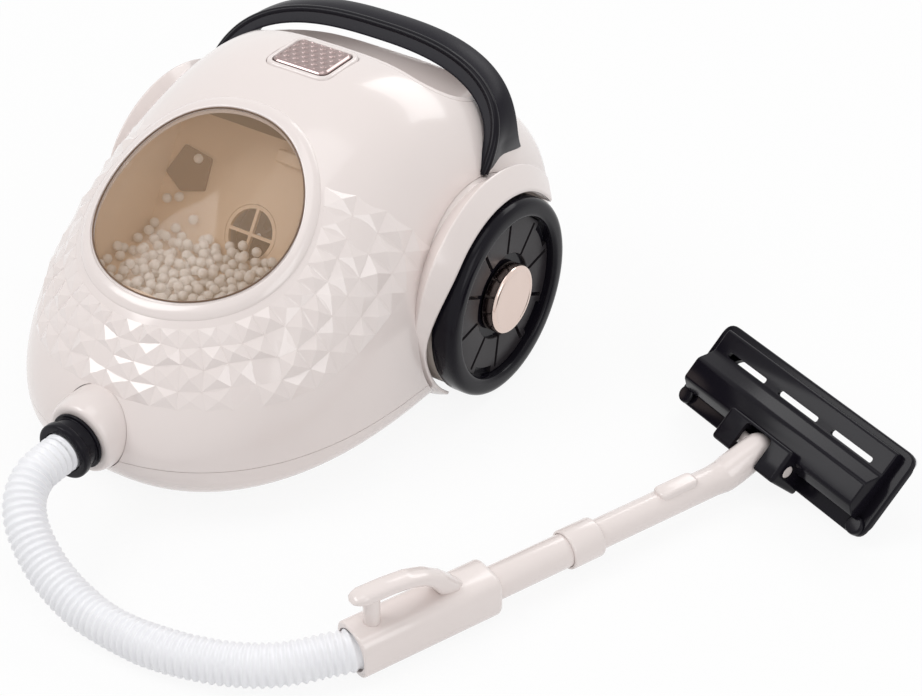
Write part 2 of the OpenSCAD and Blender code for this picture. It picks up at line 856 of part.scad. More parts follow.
module caster_pin() {
  reach = caster_cheek_x + fork_t;
  color(steel) translate([-reach, caster_axis_y, caster_r]) rotate([0, 90, 0])
    cylinder(d = caster_pin_d, h = 2 * reach);
}

module caster_wheel() {
  color(black) translate([-caster_wheel_w / 2, caster_axis_y, caster_r]) rotate([0, 90, 0]) difference() {
    cylinder(d = caster_wheel_d, h = caster_wheel_w);
    translate([0, 0, -over]) cylinder(d = caster_pin_d + 2 * run_gap, h = caster_wheel_w + 2 * over);
  }
}

// Hose socket, collar and ribbed hose
collar_seat_y = socket_front_y - seat_gap;
collar_front_y = collar_seat_y - collar_back - collar_gap - collar_front;
hose_start_y = collar_front_y + hose_plug;

module hose_socket() {
  color(ivory) difference() {
    along_y(socket_front_y, socket_out, socket_len);
    along_y(socket_front_y - over, collar_neck + seat_gap, socket_len + 2 * over);
  }
}

module hose_collar() {
  color(black) difference() {
    union() {
      along_y(collar_front_y, collar_neck, collar_seat_y - collar_front_y + socket_len);
      along_y(collar_seat_y - collar_back, collar_d / 2, collar_back);
      along_y(collar_front_y, collar_d / 2, collar_front);
    }
    along_y(collar_front_y - over, hose_fit, hose_plug + seat_gap + over);
    along_y(collar_front_y, collar_bore, far);
  }
}

// The hose's route from the collar to the grip, rounded: out, down to the floor and round to the wand
hose_route = [
  [0, -160, 31.5], [0.5, -166, 30.5], [3, -172.5, 28], [8, -178, 24.5], [15, -182, 20], [23.5, -185, 15.5],
  [33, -187, 11.8], [43, -188, 9.2], [53.5, -188.3, 8.2], [64, -187.8, 8], [74, -186.2, 8], [84, -183.5, 8],
  [93.5, -179.8, 8], [102.5, -174.8, 8.2], [110, -168.5, 8.5], [116, -161.5, 8.8]
];
wand_start = [121.5, -155];
wand_z = 9;
wand_plug = 13;
wand_dir = [cos(wand_heading), sin(wand_heading), 0];
hose_mouth = [wand_start[0], wand_start[1], wand_z];
collar_point = [0, hose_start_y, socket_z];
hose_points = concat([collar_point], hose_route,
  [hose_mouth, hose_mouth + wand_plug / 2 * wand_dir, hose_mouth + wand_plug * wand_dir]);
rib_depth = 0.9;
hose_wall = 1.1;
hose_sides = 8;
bore_every = 6;

// A smooth curve through the route's points, by a share of the way from the first to the last
function unit(v) = v / norm(v);
function slope_at(i) = i == 0 ? [0, -1, 0] * norm(hose_points[1] - hose_points[0])
  : i == len(hose_points) - 1 ? wand_dir * norm(hose_points[i] - hose_points[i - 1])
  : (hose_points[i + 1] - hose_points[i - 1]) / 2;
function on_route(share) =
  let (n = len(hose_points) - 1, u = share * n, i = min(n - 1, floor(u)), t = u - i,
       a = hose_points[i], b = hose_points[i + 1], p = slope_at(i), q = slope_at(i + 1))
  a * (2 * pow(t, 3) - 3 * pow(t, 2) + 1) + p * (pow(t, 3) - 2 * pow(t, 2) + t)
  + b * (3 * pow(t, 2) - 2 * pow(t, 3)) + q * (pow(t, 3) - pow(t, 2));
tiny_share = 0.001;
function heading_at(share) = share < tiny_share ? [0, -1, 0] : share > 1 - tiny_share ? wand_dir
  : unit(on_route(share + tiny_share) - on_route(share - tiny_share));
function hose_ring(share, r) =
  let (h = heading_at(share), across = unit(cross(h, [0, 0, 1])), up = cross(across, h), c = on_route(share))
  [for (j = [0 : hose_sides - 1])
    let (a = 360 * (j + 1 / 2) / hose_sides) c + r * (cos(a) * across + sin(a) * up)];

// The route's length, equal steps along it, and the hose's own length
way_steps = 200;
function step_len(i) = norm(on_route((i + 1) / way_steps) - on_route(i / way_steps));
way = [for (i = 0, d = 0; i <= way_steps; d = d + step_len(i), i = i + 1) d];
hose_length = way[way_steps];
function share_at(d, i = 0) = i >= way_steps - 1 || way[i + 1] >= d
  ? min(1, (i + (d - way[i]) / max(way[i + 1] - way[i], tiny_share)) / way_steps) : share_at(d, i + 1);
echo(hose_length = hose_length);

module hose() {
  n = 2 * rib_count;
  m = hose_sides;
  shares = [for (i = [0 : n]) i == 0 ? 0 : i == n ? 1 : share_at(hose_length * i / n)];
  outer = [for (i = [0 : n]) each hose_ring(shares[i], hose_d / 2 - (i % 2 == 0 ? rib_depth : 0))];
  bores = [for (i = [0 : bore_every : n]) each hose_ring(shares[i], hose_d / 2 - rib_depth - hose_wall)];
  k = (n + 1) * m;
  b = n / bore_every;
  color([0.93, 0.93, 0.94])
    polyhedron(concat(outer, bores), concat(
      [for (i = [0 : n - 1], j = [0 : m - 1])
        each quad(i * m + j, i * m + (j + 1) % m, (i + 1) * m + (j + 1) % m, (i + 1) * m + j, false)],
      [for (i = [0 : b - 1], j = [0 : m - 1])
        each quad(k + i * m + j, k + i * m + (j + 1) % m, k + (i + 1) * m + (j + 1) % m, k + (i + 1) * m + j,
          true)],
      [for (j = [0 : m - 1]) each quad(j, (j + 1) % m, k + (j + 1) % m, k + j, true)],
      [for (j = [0 : m - 1])
        each quad(n * m + j, n * m + (j + 1) % m, k + b * m + (j + 1) % m, k + b * m + j, false)]));
}

// Wand: grip with its finger loop, rear tube, coupler and front tube with the neck
module wand_frame() {
  translate([wand_start[0], wand_start[1], wand_z]) rotate([0, 0, wand_heading]) children();
}

grip_bore = 9.6;
grip_round = 5.6;
plug_len = 8;
post_at = 8;
loop_post_d = 5.6;
loop_w = 7.5;
loop_h = 22.4;
loop_len = 43;
loop_top_shares = [
  [0, 0.91], [0.03, 0.98], [0.09, 1], [0.3, 0.99], [0.5, 0.95], [0.66, 0.86], [0.8, 0.69], [1, 0.3]
];
loop_under_shares = [
  [0.76, 0.32], [0.68, 0.56], [0.6, 0.68], [0.5, 0.75], [0.35, 0.79], [0.1, 0.8], [0.03, 0.84]
];
coupler_at = 82.8;
coupler_len = 12.8;
tube_wall = 1.2;
neck_rise = 18;
neck_d = 11.4;
elbow_d = 12;
elbow_len = 10;
elbow_steps = 5;
neck_cap_steps = 4;
neck_sides = 24;
tbar_up = 5;
tbar_at = 166.5;
elbow_at = tbar_at - tbar_up / tan(neck_rise);
tube_start = coupler_at + plug_len / 2 + 2 * seat_gap;
pad_w = 6.4;
pad_len = 16;
pad_rise = 1.4;
pad_at = 122;
pivot_len = 31;

module along_wand(s0, d, len) {
  translate([s0, 0, 0]) rotate([0, 90, 0]) cylinder(d = d, h = len);
}

module grip() {
  color(ivory) wand_frame() difference() {
    union() {
      rotate([90, 0, 90]) rounded_plate(grip_w, grip_h, grip_len, grip_round);
      rotate([90, 0, 0]) translate([0, 0, -loop_w / 2]) linear_extrude(height = loop_w)
        polygon([for (p = concat(loop_top_shares, loop_under_shares)) [p[0] * loop_len, p[1] * loop_h]]);
      translate([post_at, 0, 0]) cylinder(d = loop_post_d, h = loop_h - over);
    }
    along_wand(-over, 2 * hose_fit, wand_plug + seat_gap + over);
    along_wand(0, grip_bore, grip_len + over);
    along_wand(grip_len - plug_len, rear_tube_d + 2 * seat_gap, plug_len + over);
  }
}

module rear_tube() {
  start = grip_len - plug_len + seat_gap;
  color(ivory) wand_frame() difference() {
    along_wand(start, rear_tube_d, coupler_at + plug_len / 2 - start);
    along_wand(start - over, rear_tube_d - 2 * tube_wall, far);
  }
}

module tube_coupler() {
  color(ivory) wand_frame() difference() {
    along_wand(coupler_at, coupler_d, coupler_len);
    along_wand(coupler_at - over, rear_tube_d + 2 * seat_gap, plug_len / 2 + seat_gap + over);
    along_wand(coupler_at, front_tube_d + 2 * seat_gap, far);
  }
}

// Rings of the front tube as place along the wand, height, rise and radius: straight, elbow, neck, round end
neck_rings = concat(
  [[tube_start, 0, 0, front_tube_d / 2]],
  [for (i = [0 : elbow_steps])
    let (share = i / elbow_steps, s = elbow_len * (share - 1 / 2),
         grown = front_tube_d / 2 + (elbow_d - front_tube_d) / 2 * sin(90 * share))
    [elbow_at + s * (s > 0 ? cos(neck_rise) : 1), s > 0 ? s * sin(neck_rise) : 0, neck_rise * share, grown]],
  [for (i = [0 : neck_cap_steps])
    let (turn = 90 * i / (neck_cap_steps + 1 / 2), out = neck_d / 2 * sin(turn))
    [tbar_at + out * cos(neck_rise), tbar_up + out * sin(neck_rise), neck_rise, neck_d / 2 * cos(turn)]]);

module front_tube() {
  n = len(neck_rings) - 1;
  m = neck_sides;
  color(ivory) wand_frame() difference() {
    union() {
      polyhedron([for (p = neck_rings, j = [0 : m - 1])
          let (a = 360 * (j + 1 / 2) / m)
          [p[0] - p[3] * sin(a) * sin(p[2]), p[3] * cos(a), p[1] + p[3] * sin(a) * cos(p[2])]],
        concat(
          [for (i = [0 : n - 1], j = [0 : m - 1])
            each quad(i * m + j, i * m + (j + 1) % m, (i + 1) * m + (j + 1) % m, (i + 1) * m + j, true)],
          [[for (j = [0 : m - 1]) j]],
          [flip([for (j = [0 : m - 1]) n * m + j], true)]));
      translate([pad_at, -pad_w / 2, front_tube_d / 4]) cube([pad_len, pad_w, front_tube_d / 4 + pad_rise]);
      translate([tbar_at, 0, tbar_up]) rotate([90, 0, 0]) cylinder(d = pivot_d, h = pivot_len, center = true);
    }
    along_wand(tube_start - over, front_tube_d - 2 * tube_wall, elbow_at - elbow_d - tube_start);
  }
}

// Floor head, in its own frame at the pivot bar: X forward, Y left and Z up when it lies flat
module head_frame() {
  wand_frame() translate([tbar_at, 0, tbar_up]) rotate([0, -head_pitch, 0]) children();
}

head_back = -4;
head_round = 5;
sole_z = -13;
sole_t = 2.2;
flange_t = 2;
shell_t = 1.6;
ridge_back = 1;
ridge_top = 1;
ridge_len = 12;
band_z = -4.5;
band_front = 2.4;
cheek_out = 16;
cheek_in = 12.4;
housing_back = -6;
housing_front = 7;
housing_top = 5.2;
housing_floor = -8.7;
neck_half = 6.6;
neck_front = 5.9;
bar_front = 3.6;
bar_top = 3.4;
slot_len = 20;
slot_pitch = 27;
slot_w = 3;
mouth_len = 76;
mouth_w = 12;
flange_z = sole_z + sole_t + seat_gap;
head_front = head_back + head_depth;
head_mid = (head_back + head_front) / 2;
screw_in = 3;
screw_side = 4;
screw_x = head_front - screw_in;
screw_y = head_len / 2 - screw_side;

function ridge_line(t) = [
  [ridge_back + t, flange_z - (t > 0 ? over : 0)], [ridge_back + t, band_z],
  [ridge_back + 2 * head_round / 3 + t / 2, ridge_top - t],
  [ridge_back + ridge_len - t / 2, ridge_top - t], [ridge_back + ridge_len + head_round - t / 2, band_z - t],
  [head_front - band_front - t, band_z - t], [head_front - band_front - t, flange_z - (t > 0 ? over : 0)]];

module across_head(w) {
  rotate([90, 0, 0]) translate([0, 0, -w / 2]) linear_extrude(height = w) children();
}

module head_block(w, x0, x1, z0, z1) {
  translate([x0, -w / 2, z0]) cube([x1 - x0, w, z1 - z0]);
}

module head_cover() {
  shell_len = head_len - 2 * head_round;
  color(black) head_frame() difference() {
    union() {
      translate([head_mid, 0, flange_z]) rounded_plate(head_depth, head_len, flange_t, head_round);
      across_head(shell_len) polygon(ridge_line(0));
      head_block(2 * cheek_out, housing_back, housing_front, flange_z, housing_top);
    }
    across_head(shell_len - 2 * shell_t) polygon(ridge_line(shell_t));
    head_block(2 * cheek_in, housing_back - over, bar_front, housing_floor, bar_top);
    head_block(2 * neck_half, housing_back - over, neck_front, housing_floor, housing_top + over);
    rotate([90, 0, 0]) cylinder(d = pivot_d + 2 * run_gap, h = 2 * cheek_out + 2 * over, center = true);
    for (k = [-1, 0, 1])
      translate([head_front - band_front - shell_t - 2 * slot_w, k * slot_pitch - slot_len / 2,
                 band_z - flange_t])
        cube([slot_w, slot_len, flange_t + over]);
    for (s = [-1, 1]) translate([screw_x, s * screw_y, flange_z - over]) cylinder(d = screw_d, h = flange_t);
  }
}

module head_sole() {
  color(black) head_frame() difference() {
    translate([head_mid, 0, sole_z])
      rounded_plate(head_depth - band_front, head_len - band_front, sole_t, head_round);
    translate([head_mid + head_round / 2, 0, sole_z - over])
      rounded_plate(mouth_w, mouth_len, sole_t + 2 * over, head_round);
    for (s = [-1, 1]) translate([screw_x, s * screw_y, sole_z - over]) {
      cylinder(d = screw_d + 2 * seat_gap, h = sole_t + 2 * over);
      cylinder(d = screw_head_d + 2 * seat_gap, h = screw_head_h + over);
    }
  }
}

module head_screws() {
  color(steel) head_frame() for (s = [-1, 1]) translate([screw_x, s * screw_y, sole_z]) {
    cylinder(d = screw_head_d, h = screw_head_h);
    cylinder(d = screw_d, h = sole_t + flange_t / 2);
  }
}

hood();
base_tub();
rear_housing();
handle_well();
carry_handle();
window_pane();
dust_tray();
fan_grille();
foam_balls();
impeller();
motor_shaft();
fan_motor();
motor_bracket();
power_button();
button_bezel();
button_spring();
push_switch();
circuit_board();
battery_box();
batteries();
battery_contacts();
battery_door();
door_screw();
axle();
axle_clips();
wheel_right();
wheel_left();
hub_cap_right();
hub_cap_left();
wheel_well_right();
wheel_well_left();
caster_housing();
caster_fork();
caster_wheel();
caster_pin();
hose_socket();
hose_collar();
hose();
grip();
rear_tube();
tube_coupler();
front_tube();
head_cover();
head_sole();
head_screws();
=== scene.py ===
import json
import math
import random

import bpy
from mathutils import Matrix, Vector


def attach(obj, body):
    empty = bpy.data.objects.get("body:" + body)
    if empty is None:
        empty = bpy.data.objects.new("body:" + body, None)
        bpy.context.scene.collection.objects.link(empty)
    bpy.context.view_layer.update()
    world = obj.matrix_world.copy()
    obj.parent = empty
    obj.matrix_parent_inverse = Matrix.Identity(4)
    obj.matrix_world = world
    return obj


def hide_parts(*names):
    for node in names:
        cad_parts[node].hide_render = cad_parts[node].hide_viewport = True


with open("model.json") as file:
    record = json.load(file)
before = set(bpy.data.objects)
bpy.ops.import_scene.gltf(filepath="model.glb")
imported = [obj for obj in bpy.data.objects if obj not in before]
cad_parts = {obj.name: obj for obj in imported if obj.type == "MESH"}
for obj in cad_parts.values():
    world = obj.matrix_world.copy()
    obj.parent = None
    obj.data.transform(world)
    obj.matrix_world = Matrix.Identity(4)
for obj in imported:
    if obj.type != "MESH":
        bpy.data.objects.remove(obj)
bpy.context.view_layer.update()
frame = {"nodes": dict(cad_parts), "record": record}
scene = bpy.context.scene
MM = 0.001
sin, cos, rad = math.sin, math.cos, math.radians

# ---- driving sizes in millimetres and degrees, from the solids; the head's plate is 0.1 smaller all round
wheel_r = 38
axle_z = wheel_r
cup_r, cup_in, cup_floor, cup_gap = 42.5, 39.6, 56.6, 0.2
crown_y, crest_z, nose_len, tail_len = -10, 115, 128, 80
seam_z, nose_z, belly_z, body_half, wall = 17, 24, 3.5, 71, 2.0
window_y, window_half, window_len = -73, 39.5, 66
tray_floor, tray_slope_y, tray_tilt = 52, -53.6, 55
foam_r, foam_gap, foam_count, foam_tries = 1.9, 0.05, 430, 16
button_y, button_w, button_len, button_corner = -5.6, 23.6, 18.4, 3
button_top, button_skirt, button_gap, seat_gap = 115.75, 5.8, 0.4, 2.6
handle_half, handle_foot, handle_front, handle_lean = 65, 80.8, 7.2, 42
well_y, well_z, well_half, well_r = 27, 108, 32, 19.4
caster_y, caster_hole_r, bay_half_x, bay_half_y = -84, 18.5, 30.2, 22.2
hose_z, hose_r, rib_depth, rib_count = 31.5, 7.3, 0.9, 72
hose_reach_y = 195    # keeps the round hose inside the box of the flat-sided solid
wand_x, wand_y, wand_z, wand_turn = 121.5, -155, 9, 68
bar_at, bar_up, neck_lift, head_pitch = 166.5, 5, 18, 46
head_back, head_front, head_half, head_round = -4, 29.9, 48.4, 5

# ---- camera: the one fitted to the photograph
az, el, roll = rad(33.72), rad(35.94), rad(-0.15)
right = Vector((cos(az), sin(az), 0))
up = Vector((-sin(az) * sin(el), cos(az) * sin(el), cos(el)))
back = Vector((sin(az) * cos(el), -cos(az) * cos(el), sin(el)))
right, up = right * cos(roll) + up * sin(roll), up * cos(roll) - right * sin(roll)
lens = bpy.data.cameras.new("photo_camera")
lens.lens, lens.sensor_width, lens.sensor_fit = 82.62, 36, "HORIZONTAL"
lens.clip_start, lens.clip_end = 0.01, 20
camera = bpy.data.objects.new("photo_camera", lens)
scene.collection.objects.link(camera)
spin = Matrix((right, up, back)).transposed().to_4x4()
camera.matrix_world = Matrix.Translation((0.4172, -0.5357, 0.4742)) @ spin
scene.camera = camera


# ---- modelling helpers: lengths in millimetres, turned into metres as points are placed
def pick(obj):
    bpy.ops.object.select_all(action="DESELECT")
    obj.select_set(True)
    bpy.context.view_layer.objects.active = obj


def mend(obj, fill=False):
    """Merges doubled points, closes open ends if asked and turns the faces outwards."""
    pick(obj)
    bpy.ops.object.mode_set(mode="EDIT")
    bpy.ops.mesh.select_all(action="SELECT")
    bpy.ops.mesh.remove_doubles(threshold=0.000004)
    bpy.ops.mesh.delete_loose()
    bpy.ops.mesh.select_all(action="SELECT")
    if fill:
        bpy.ops.mesh.fill_holes(sides=0)
        bpy.ops.mesh.select_all(action="SELECT")
    bpy.ops.mesh.normals_make_consistent(inside=False)
    bpy.ops.object.mode_set(mode="OBJECT")


def patch(name, columns, rows, place, fill=False):
    """A grid whose points are placed by a function of their two shares."""
    bpy.ops.object.select_all(action="DESELECT")
    bpy.ops.mesh.primitive_grid_add(x_subdivisions=columns, y_subdivisions=rows, size=2)
    obj = bpy.context.object
    obj.name = name
    for v in obj.data.vertices:
        v.co = Vector(place((v.co.x + 1) / 2, (v.co.y + 1) / 2)) * MM
    mend(obj, fill)
    return obj


def rings(name, loops, fill=True):
    """A closed skin over a list of loops that all have the same number of points."""
    n, m = len(loops[0]), len(loops) - 1
    return patch(name, n, m, lambda u, v: loops[round(v * m)][round(u * n) % n], fill)


def soft(points, steps=5):
    """A closed outline of corners (x, y, reach), each rounded over its reach."""
    out = []
    for i, p in enumerate(points):
        v = Vector(p[:2])
        a = v + (Vector(points[i - 1][:2]) - v).normalized() * p[2]
        b = v + (Vector(points[(i + 1) % len(points)][:2]) - v).normalized() * p[2]
        out += [a * (1 - t) ** 2 + v * 2 * t * (1 - t) + b * t * t for t in
                ([k / steps for k in range(steps + 1)] if p[2] else [0.5])]
    return out


def box_outline(x0, x1, y0, y1, reach, steps=6):
    return soft([(x0, y0, reach), (x1, y0, reach), (x1, y1, reach), (x0, y1, reach)], steps)


def full_turn(n):
    return [2 * math.pi * j / n for j in range(n)]


def turned(name, profile, place, steps):
    """A profile of (radius, height) points turned about an axis that place() sets in the frame."""
    n = len(profile)

    def at(u, v):
        r, h = profile[round(u * n) % n]
        a = rad(360 * v)
        return place(r * cos(a), r * sin(a), h)
    return patch(name, n, steps, at)


def levels(z0, z1, low=0.0, high=0.0, steps=4):
    """Rounded ends of a slab, as (draw in, height) pairs."""
    arcs = [rad(90 * k / steps) for k in range(steps + 1)]
    first = [(low * (1 - sin(a)), z0 + low * (1 - cos(a))) for a in arcs] if low else [(0, z0)]
    last = [(high * (1 - cos(a)), z1 - high * (1 - sin(a))) for a in arcs] if high else [(0, z1)]
    return first + last


def slab(name, outline, heights, place):
    """An outline stacked at the given heights, drawn in along its own normals."""
    n = len(outline)
    out = []
    for i in range(n):
        d = outline[(i + 1) % n] - outline[i - 1]
        out.append(Vector((d.y, -d.x)).normalized())
    area = sum(outline[i - 1].cross(outline[i]) for i in range(n))
    out = [o if area > 0 else -o for o in out]
    loops = [[place(*(outline[i] - out[i] * inset), z) for i in range(n)] for inset, z in heights]
    return rings(name, loops)


def combine(obj, tools, mode="DIFFERENCE"):
    """Cuts, meets or adds each tool, and takes the tools away."""
    for tool in tools:
        pick(obj)
        m = obj.modifiers.new("combine", "BOOLEAN")
        m.operation, m.solver, m.object = mode, "MANIFOLD", tool
        bpy.ops.object.modifier_apply(modifier=m.name)
        bpy.data.objects.remove(tool, do_unlink=True)
    return obj


def join(name, objs):
    bpy.ops.object.select_all(action="DESELECT")
    for o in objs:
        o.select_set(True)
    bpy.context.view_layer.objects.active = objs[0]
    bpy.ops.object.join()
    objs[0].name = name
    return objs[0]


def done(obj, material, body, nodes, angle=35):
    """Finish, body, stand-in and slot of a piece."""
    pick(obj)
    if angle:
        bpy.ops.object.shade_smooth_by_angle(angle=rad(angle))
    else:
        bpy.ops.object.shade_flat()
    obj.data.materials.clear()
    obj.data.materials.append(material)
    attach(obj, body)
    if nodes:
        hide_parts(*nodes.split())
    return obj


# ---- materials
class Socket:
    """A node's output that adds nodes to its tree when it is used in a sum."""

    def __init__(self, tree, out):
        self.tree, self.out = tree, out

    def make(self, kind, inputs, out=0, **settings):
        node = self.tree.nodes.new(kind)
        for key, value in settings.items():
            setattr(node, key, value)
        for key, value in inputs.items():
            if isinstance(value, Socket):
                self.tree.links.new(value.out, node.inputs[key])
            else:
                node.inputs[key].default_value = value
        return Socket(self.tree, node.outputs[out])

    def math(self, operation, a, b):
        return self.make("ShaderNodeMath", {0: a, 1: b}, operation=operation)

    def __add__(self, other):
        return self.math("ADD", self, other)

    def __mul__(self, other):
        return self.math("MULTIPLY", self, other)

    __radd__, __rmul__ = __add__, __mul__

    def mix(self, a, b):
        return self.make("ShaderNodeMix", {0: self, 6: a, 7: b}, 2, data_type="RGBA")


def finish_of(name, light, dark, rough, spread, scale, bump=0.0, **constants):
    """A finish with a little unevenness in its colour and gloss, and a fine grain if bump is given."""
    m = bpy.data.materials.new(name)
    m.use_nodes = True
    tree = m.node_tree
    shader = next(n for n in tree.nodes if n.type == "BSDF_PRINCIPLED")
    place = Socket(tree, tree.nodes.new("ShaderNodeTexCoord").outputs["Object"])
    noise = place.make("ShaderNodeTexNoise", {"Vector": place, "Scale": scale, "Detail": 3.0})
    colour = noise.mix((*dark, 1), (*light, 1))
    tree.links.new(colour.out, shader.inputs["Base Color"])
    tree.links.new((noise * spread + (rough - spread / 2)).out, shader.inputs["Roughness"])
    if bump:
        grain = place.make("ShaderNodeTexNoise", {"Vector": place, "Scale": scale * 40, "Detail": 2.0})
        normal = grain.make("ShaderNodeBump", {"Strength": bump, "Distance": 0.0002, "Height": grain})
        tree.links.new(normal.out, shader.inputs["Normal"])
    for key, value in constants.items():
        shader.inputs[key.replace("_", " ")].default_value = value
    return m


ivory = finish_of("ivory_gloss", (0.81, 0.735, 0.71), (0.78, 0.70, 0.675), 0.2, 0.04, 30, Coat_Weight=0.35)
facet_ivory = finish_of("facet_ivory", (0.83, 0.755, 0.73), (0.78, 0.70, 0.675),
                        0.13, 0.04, 60, Coat_Weight=0.5)
# painted shade: a darker copy of the ivory for the drum deep in the wheel well, where the well's shadow falls
shaded_drum_ivory = finish_of("shaded_drum_ivory", (0.60, 0.54, 0.49), (0.52, 0.46, 0.42), 0.45, 0.1, 50)
gloss_black = finish_of("black_gloss", (0.009, 0.008, 0.012), (0.006, 0.005, 0.008),
                        0.16, 0.04, 40, Specular_IOR_Level=0.12)
satin_black = finish_of("black_satin", (0.012, 0.011, 0.016), (0.008, 0.007, 0.011),
                        0.3, 0.06, 60, 0.08, Specular_IOR_Level=0.1)
dish_grey = finish_of("dish_grey", (0.030, 0.026, 0.029), (0.022, 0.019, 0.022),
                      0.34, 0.08, 70, 0.1, Specular_IOR_Level=0.2)
gold = finish_of("rose_gold", (0.76, 0.62, 0.56), (0.70, 0.56, 0.50), 0.16, 0.05, 80, Metallic=1.0)
# painted shade: a darker copy of the rose gold, so the button reads darker than the hub caps of the same metal
shaded_rose_gold = finish_of("shaded_rose_gold", (0.40, 0.31, 0.30), (0.35, 0.27, 0.26), 0.16, 0.05, 80, Metallic=1.0)
amber = finish_of("amber_clear", (0.60, 0.40, 0.25), (0.54, 0.35, 0.21),
                  0.06, 0.02, 20, Alpha=0.2, Coat_Weight=0.3)
peach = finish_of("peach_tray", (0.88, 0.68, 0.50), (0.82, 0.61, 0.44), 0.3, 0.08, 40)
# dark brown used as painted shade on the tray, and for the window's dark edge line
brown = finish_of("tray_shade", (0.16, 0.085, 0.045), (0.11, 0.06, 0.03), 0.35, 0.08, 60)
foam = finish_of("foam_white", (0.93, 0.91, 0.88), (0.88, 0.85, 0.81), 0.75, 0.1, 300, 0.4)
hose_white = finish_of("hose_white", (0.90, 0.90, 0.92), (0.85, 0.85, 0.88), 0.34, 0.06, 120, Coat_Weight=0.15)
steel = finish_of("bright_steel", (0.70, 0.70, 0.72), (0.60, 0.60, 0.62), 0.28, 0.1, 200, Metallic=1.0)
green = finish_of("board_green", (0.05, 0.20, 0.08), (0.03, 0.15, 0.06), 0.4, 0.1, 150)
sleeve = finish_of("cell_sleeve", (0.05, 0.06, 0.09), (0.03, 0.035, 0.06), 0.3, 0.08, 120)
by_slot = {"ivory_gloss": ivory, "black_satin": satin_black, "black_gloss": gloss_black, "rose_gold": gold,
           "amber_clear": amber, "peach_tray": peach, "foam_white": foam, "hose_white": hose_white,
           "bright_steel": steel, "board_green": green, "cell_sleeve": sleeve}
for part in frame["record"]["subparts"]:
    shown = frame["nodes"][part["node"]]
    if not shown.material_slots:
        shown.data.materials.append(None)
    for place in shown.material_slots:
        place.material = by_slot[part["material_slot"]]


# ---- hose: the same route as the solid one, from the collar to the grip
def wand(s, t, h):
    """A point s along the wand, t to its left and h over its middle line."""
    c, d = cos(rad(wand_turn)), sin(rad(wand_turn))
    return Vector((wand_x + s * c - t * d, wand_y + s * d + t * c, wand_z + h))


route = [Vector(p) for p in (
    (0, -144.8, hose_z), (0, -160, hose_z), (0.5, -166, 30.5), (3, -172.5, 28), (8, -178, 24.5), (15, -182, 20),
    (23.5, -185, 15.5), (33, -187, 11.8), (43, -188, 9.2), (53.5, -188.3, 8.2), (64, -187.8, 8),
    (74, -186.2, 8), (84, -183.5, 8), (93.5, -179.8, 8), (102.5, -174.8, 8.2), (110, -168.5, 8.5),
    (116, -161.5, 8.8))]
route += [wand(0, 0, 0), wand(6.5, 0, 0), wand(13, 0, 0)]
last = len(route) - 1
wand_dir = (wand(1, 0, 0) - wand(0, 0, 0)).normalized()
slopes = [Vector((0, -1, 0)) * (route[1] - route[0]).length]
slopes += [(route[i + 1] - route[i - 1]) / 2 for i in range(1, last)]
slopes += [wand_dir * (route[last] - route[last - 1]).length]


def on_route(share):
    i = min(last - 1, int(share * last))
    t = share * last - i
    return (route[i] * (2 * t ** 3 - 3 * t ** 2 + 1) + slopes[i] * (t ** 3 - 2 * t ** 2 + t)
            + route[i + 1] * (3 * t ** 2 - 2 * t ** 3) + slopes[i + 1] * (t ** 3 - t ** 2))


fine_steps, rows_a_rib, hose_sides = 1200, 7, 20
fine = [on_route(k / fine_steps) for k in range(fine_steps + 1)]
way = [0.0]
for k in range(fine_steps):
    way.append(way[-1] + (fine[k + 1] - fine[k]).length)
hose_length = way[-1]
line, k = [], 0
hose_rows = rib_count * rows_a_rib
for i in range(hose_rows + 1):
    d = hose_length * i / hose_rows
    while k < fine_steps - 1 and way[k + 1] < d:
        k += 1
    line.append(fine[k].lerp(fine[k + 1], min(1, (d - way[k]) / (way[k + 1] - way[k]))))
loops = []
for i, p in enumerate(line):
    ahead = (line[min(i + 1, hose_rows)] - line[max(i - 1, 0)]).normalized()
    side = ahead.cross(Vector((0, 0, 1))).normalized()
    top = side.cross(ahead)
    r = hose_r - rib_depth * (0.5 + 0.5 * cos(2 * math.pi * i / rows_a_rib)) ** 0.8
    squeeze = min(1, (hose_reach_y + p.y) / hose_r)
    loops.append([p + (side * squeeze * cos(a) + top * sin(a)) * r for a in full_turn(hose_sides)])
hose = done(rings("ribbed_hose", loops), hose_white, "body", "hose", 60)


# ---- the body's form
def spow(v, p):
    return math.copysign(abs(v) ** p, v)


def ahead_of(y):
    """Share of the way from the crown to the nose."""
    return max(0.0, (crown_y - y) / nose_len)


def behind_of(y):
    """Share of the way from the crown to the tail."""
    return max(0.0, (y - crown_y) / tail_len)


def power_at(y):
    return 2.9 - 1.1 * ahead_of(y) + 1.1 * behind_of(y)


def seam_at(y):
    return seam_z + (nose_z - seam_z) * ahead_of(y)


def rounding_at(y):
    return 1 - 0.16 * max(0.0, (y - 58) / 12) ** 2


def top_at(y):
    if y < crown_y:
        return nose_z + (crest_z - nose_z) * max(0.0, 1 - ahead_of(y) ** 1.6) ** 0.66
    return crest_z - 47 * behind_of(y) ** 2.2


def under_at(y):
    if y < crown_y:
        return nose_z - (nose_z - belly_z) * max(0.0, 1 - ahead_of(y) ** 8.5) ** 0.5
    return belly_z + 10 * behind_of(y) ** 6


def width_at(y):
    if y < -27:
        return body_half * max(0.0, 1 - ((-27 - y) / 111) ** 2.9) ** 0.48
    return body_half - 13 * ((y + 27) / 97) ** 2.5


def section(y, a, inset, side):
    """A point of the upper (1) or lower (-1) half section at y, drawn in by an inset."""
    p = 2 / (power_at(y) if side > 0 else 3)
    w = max(0.01, width_at(y) * rounding_at(y) - inset)
    base = seam_at(y) - (0 if side > 0 else 0.2)
    reach = (top_at(y) - base) * rounding_at(y) if side > 0 else base - under_at(y)
    return Vector((w * spow(cos(a), p), y, base + side * max(0.01, reach - inset) * max(0.0, sin(a)) ** p))


half_turn = [math.pi * j / 60 for j in range(61)]


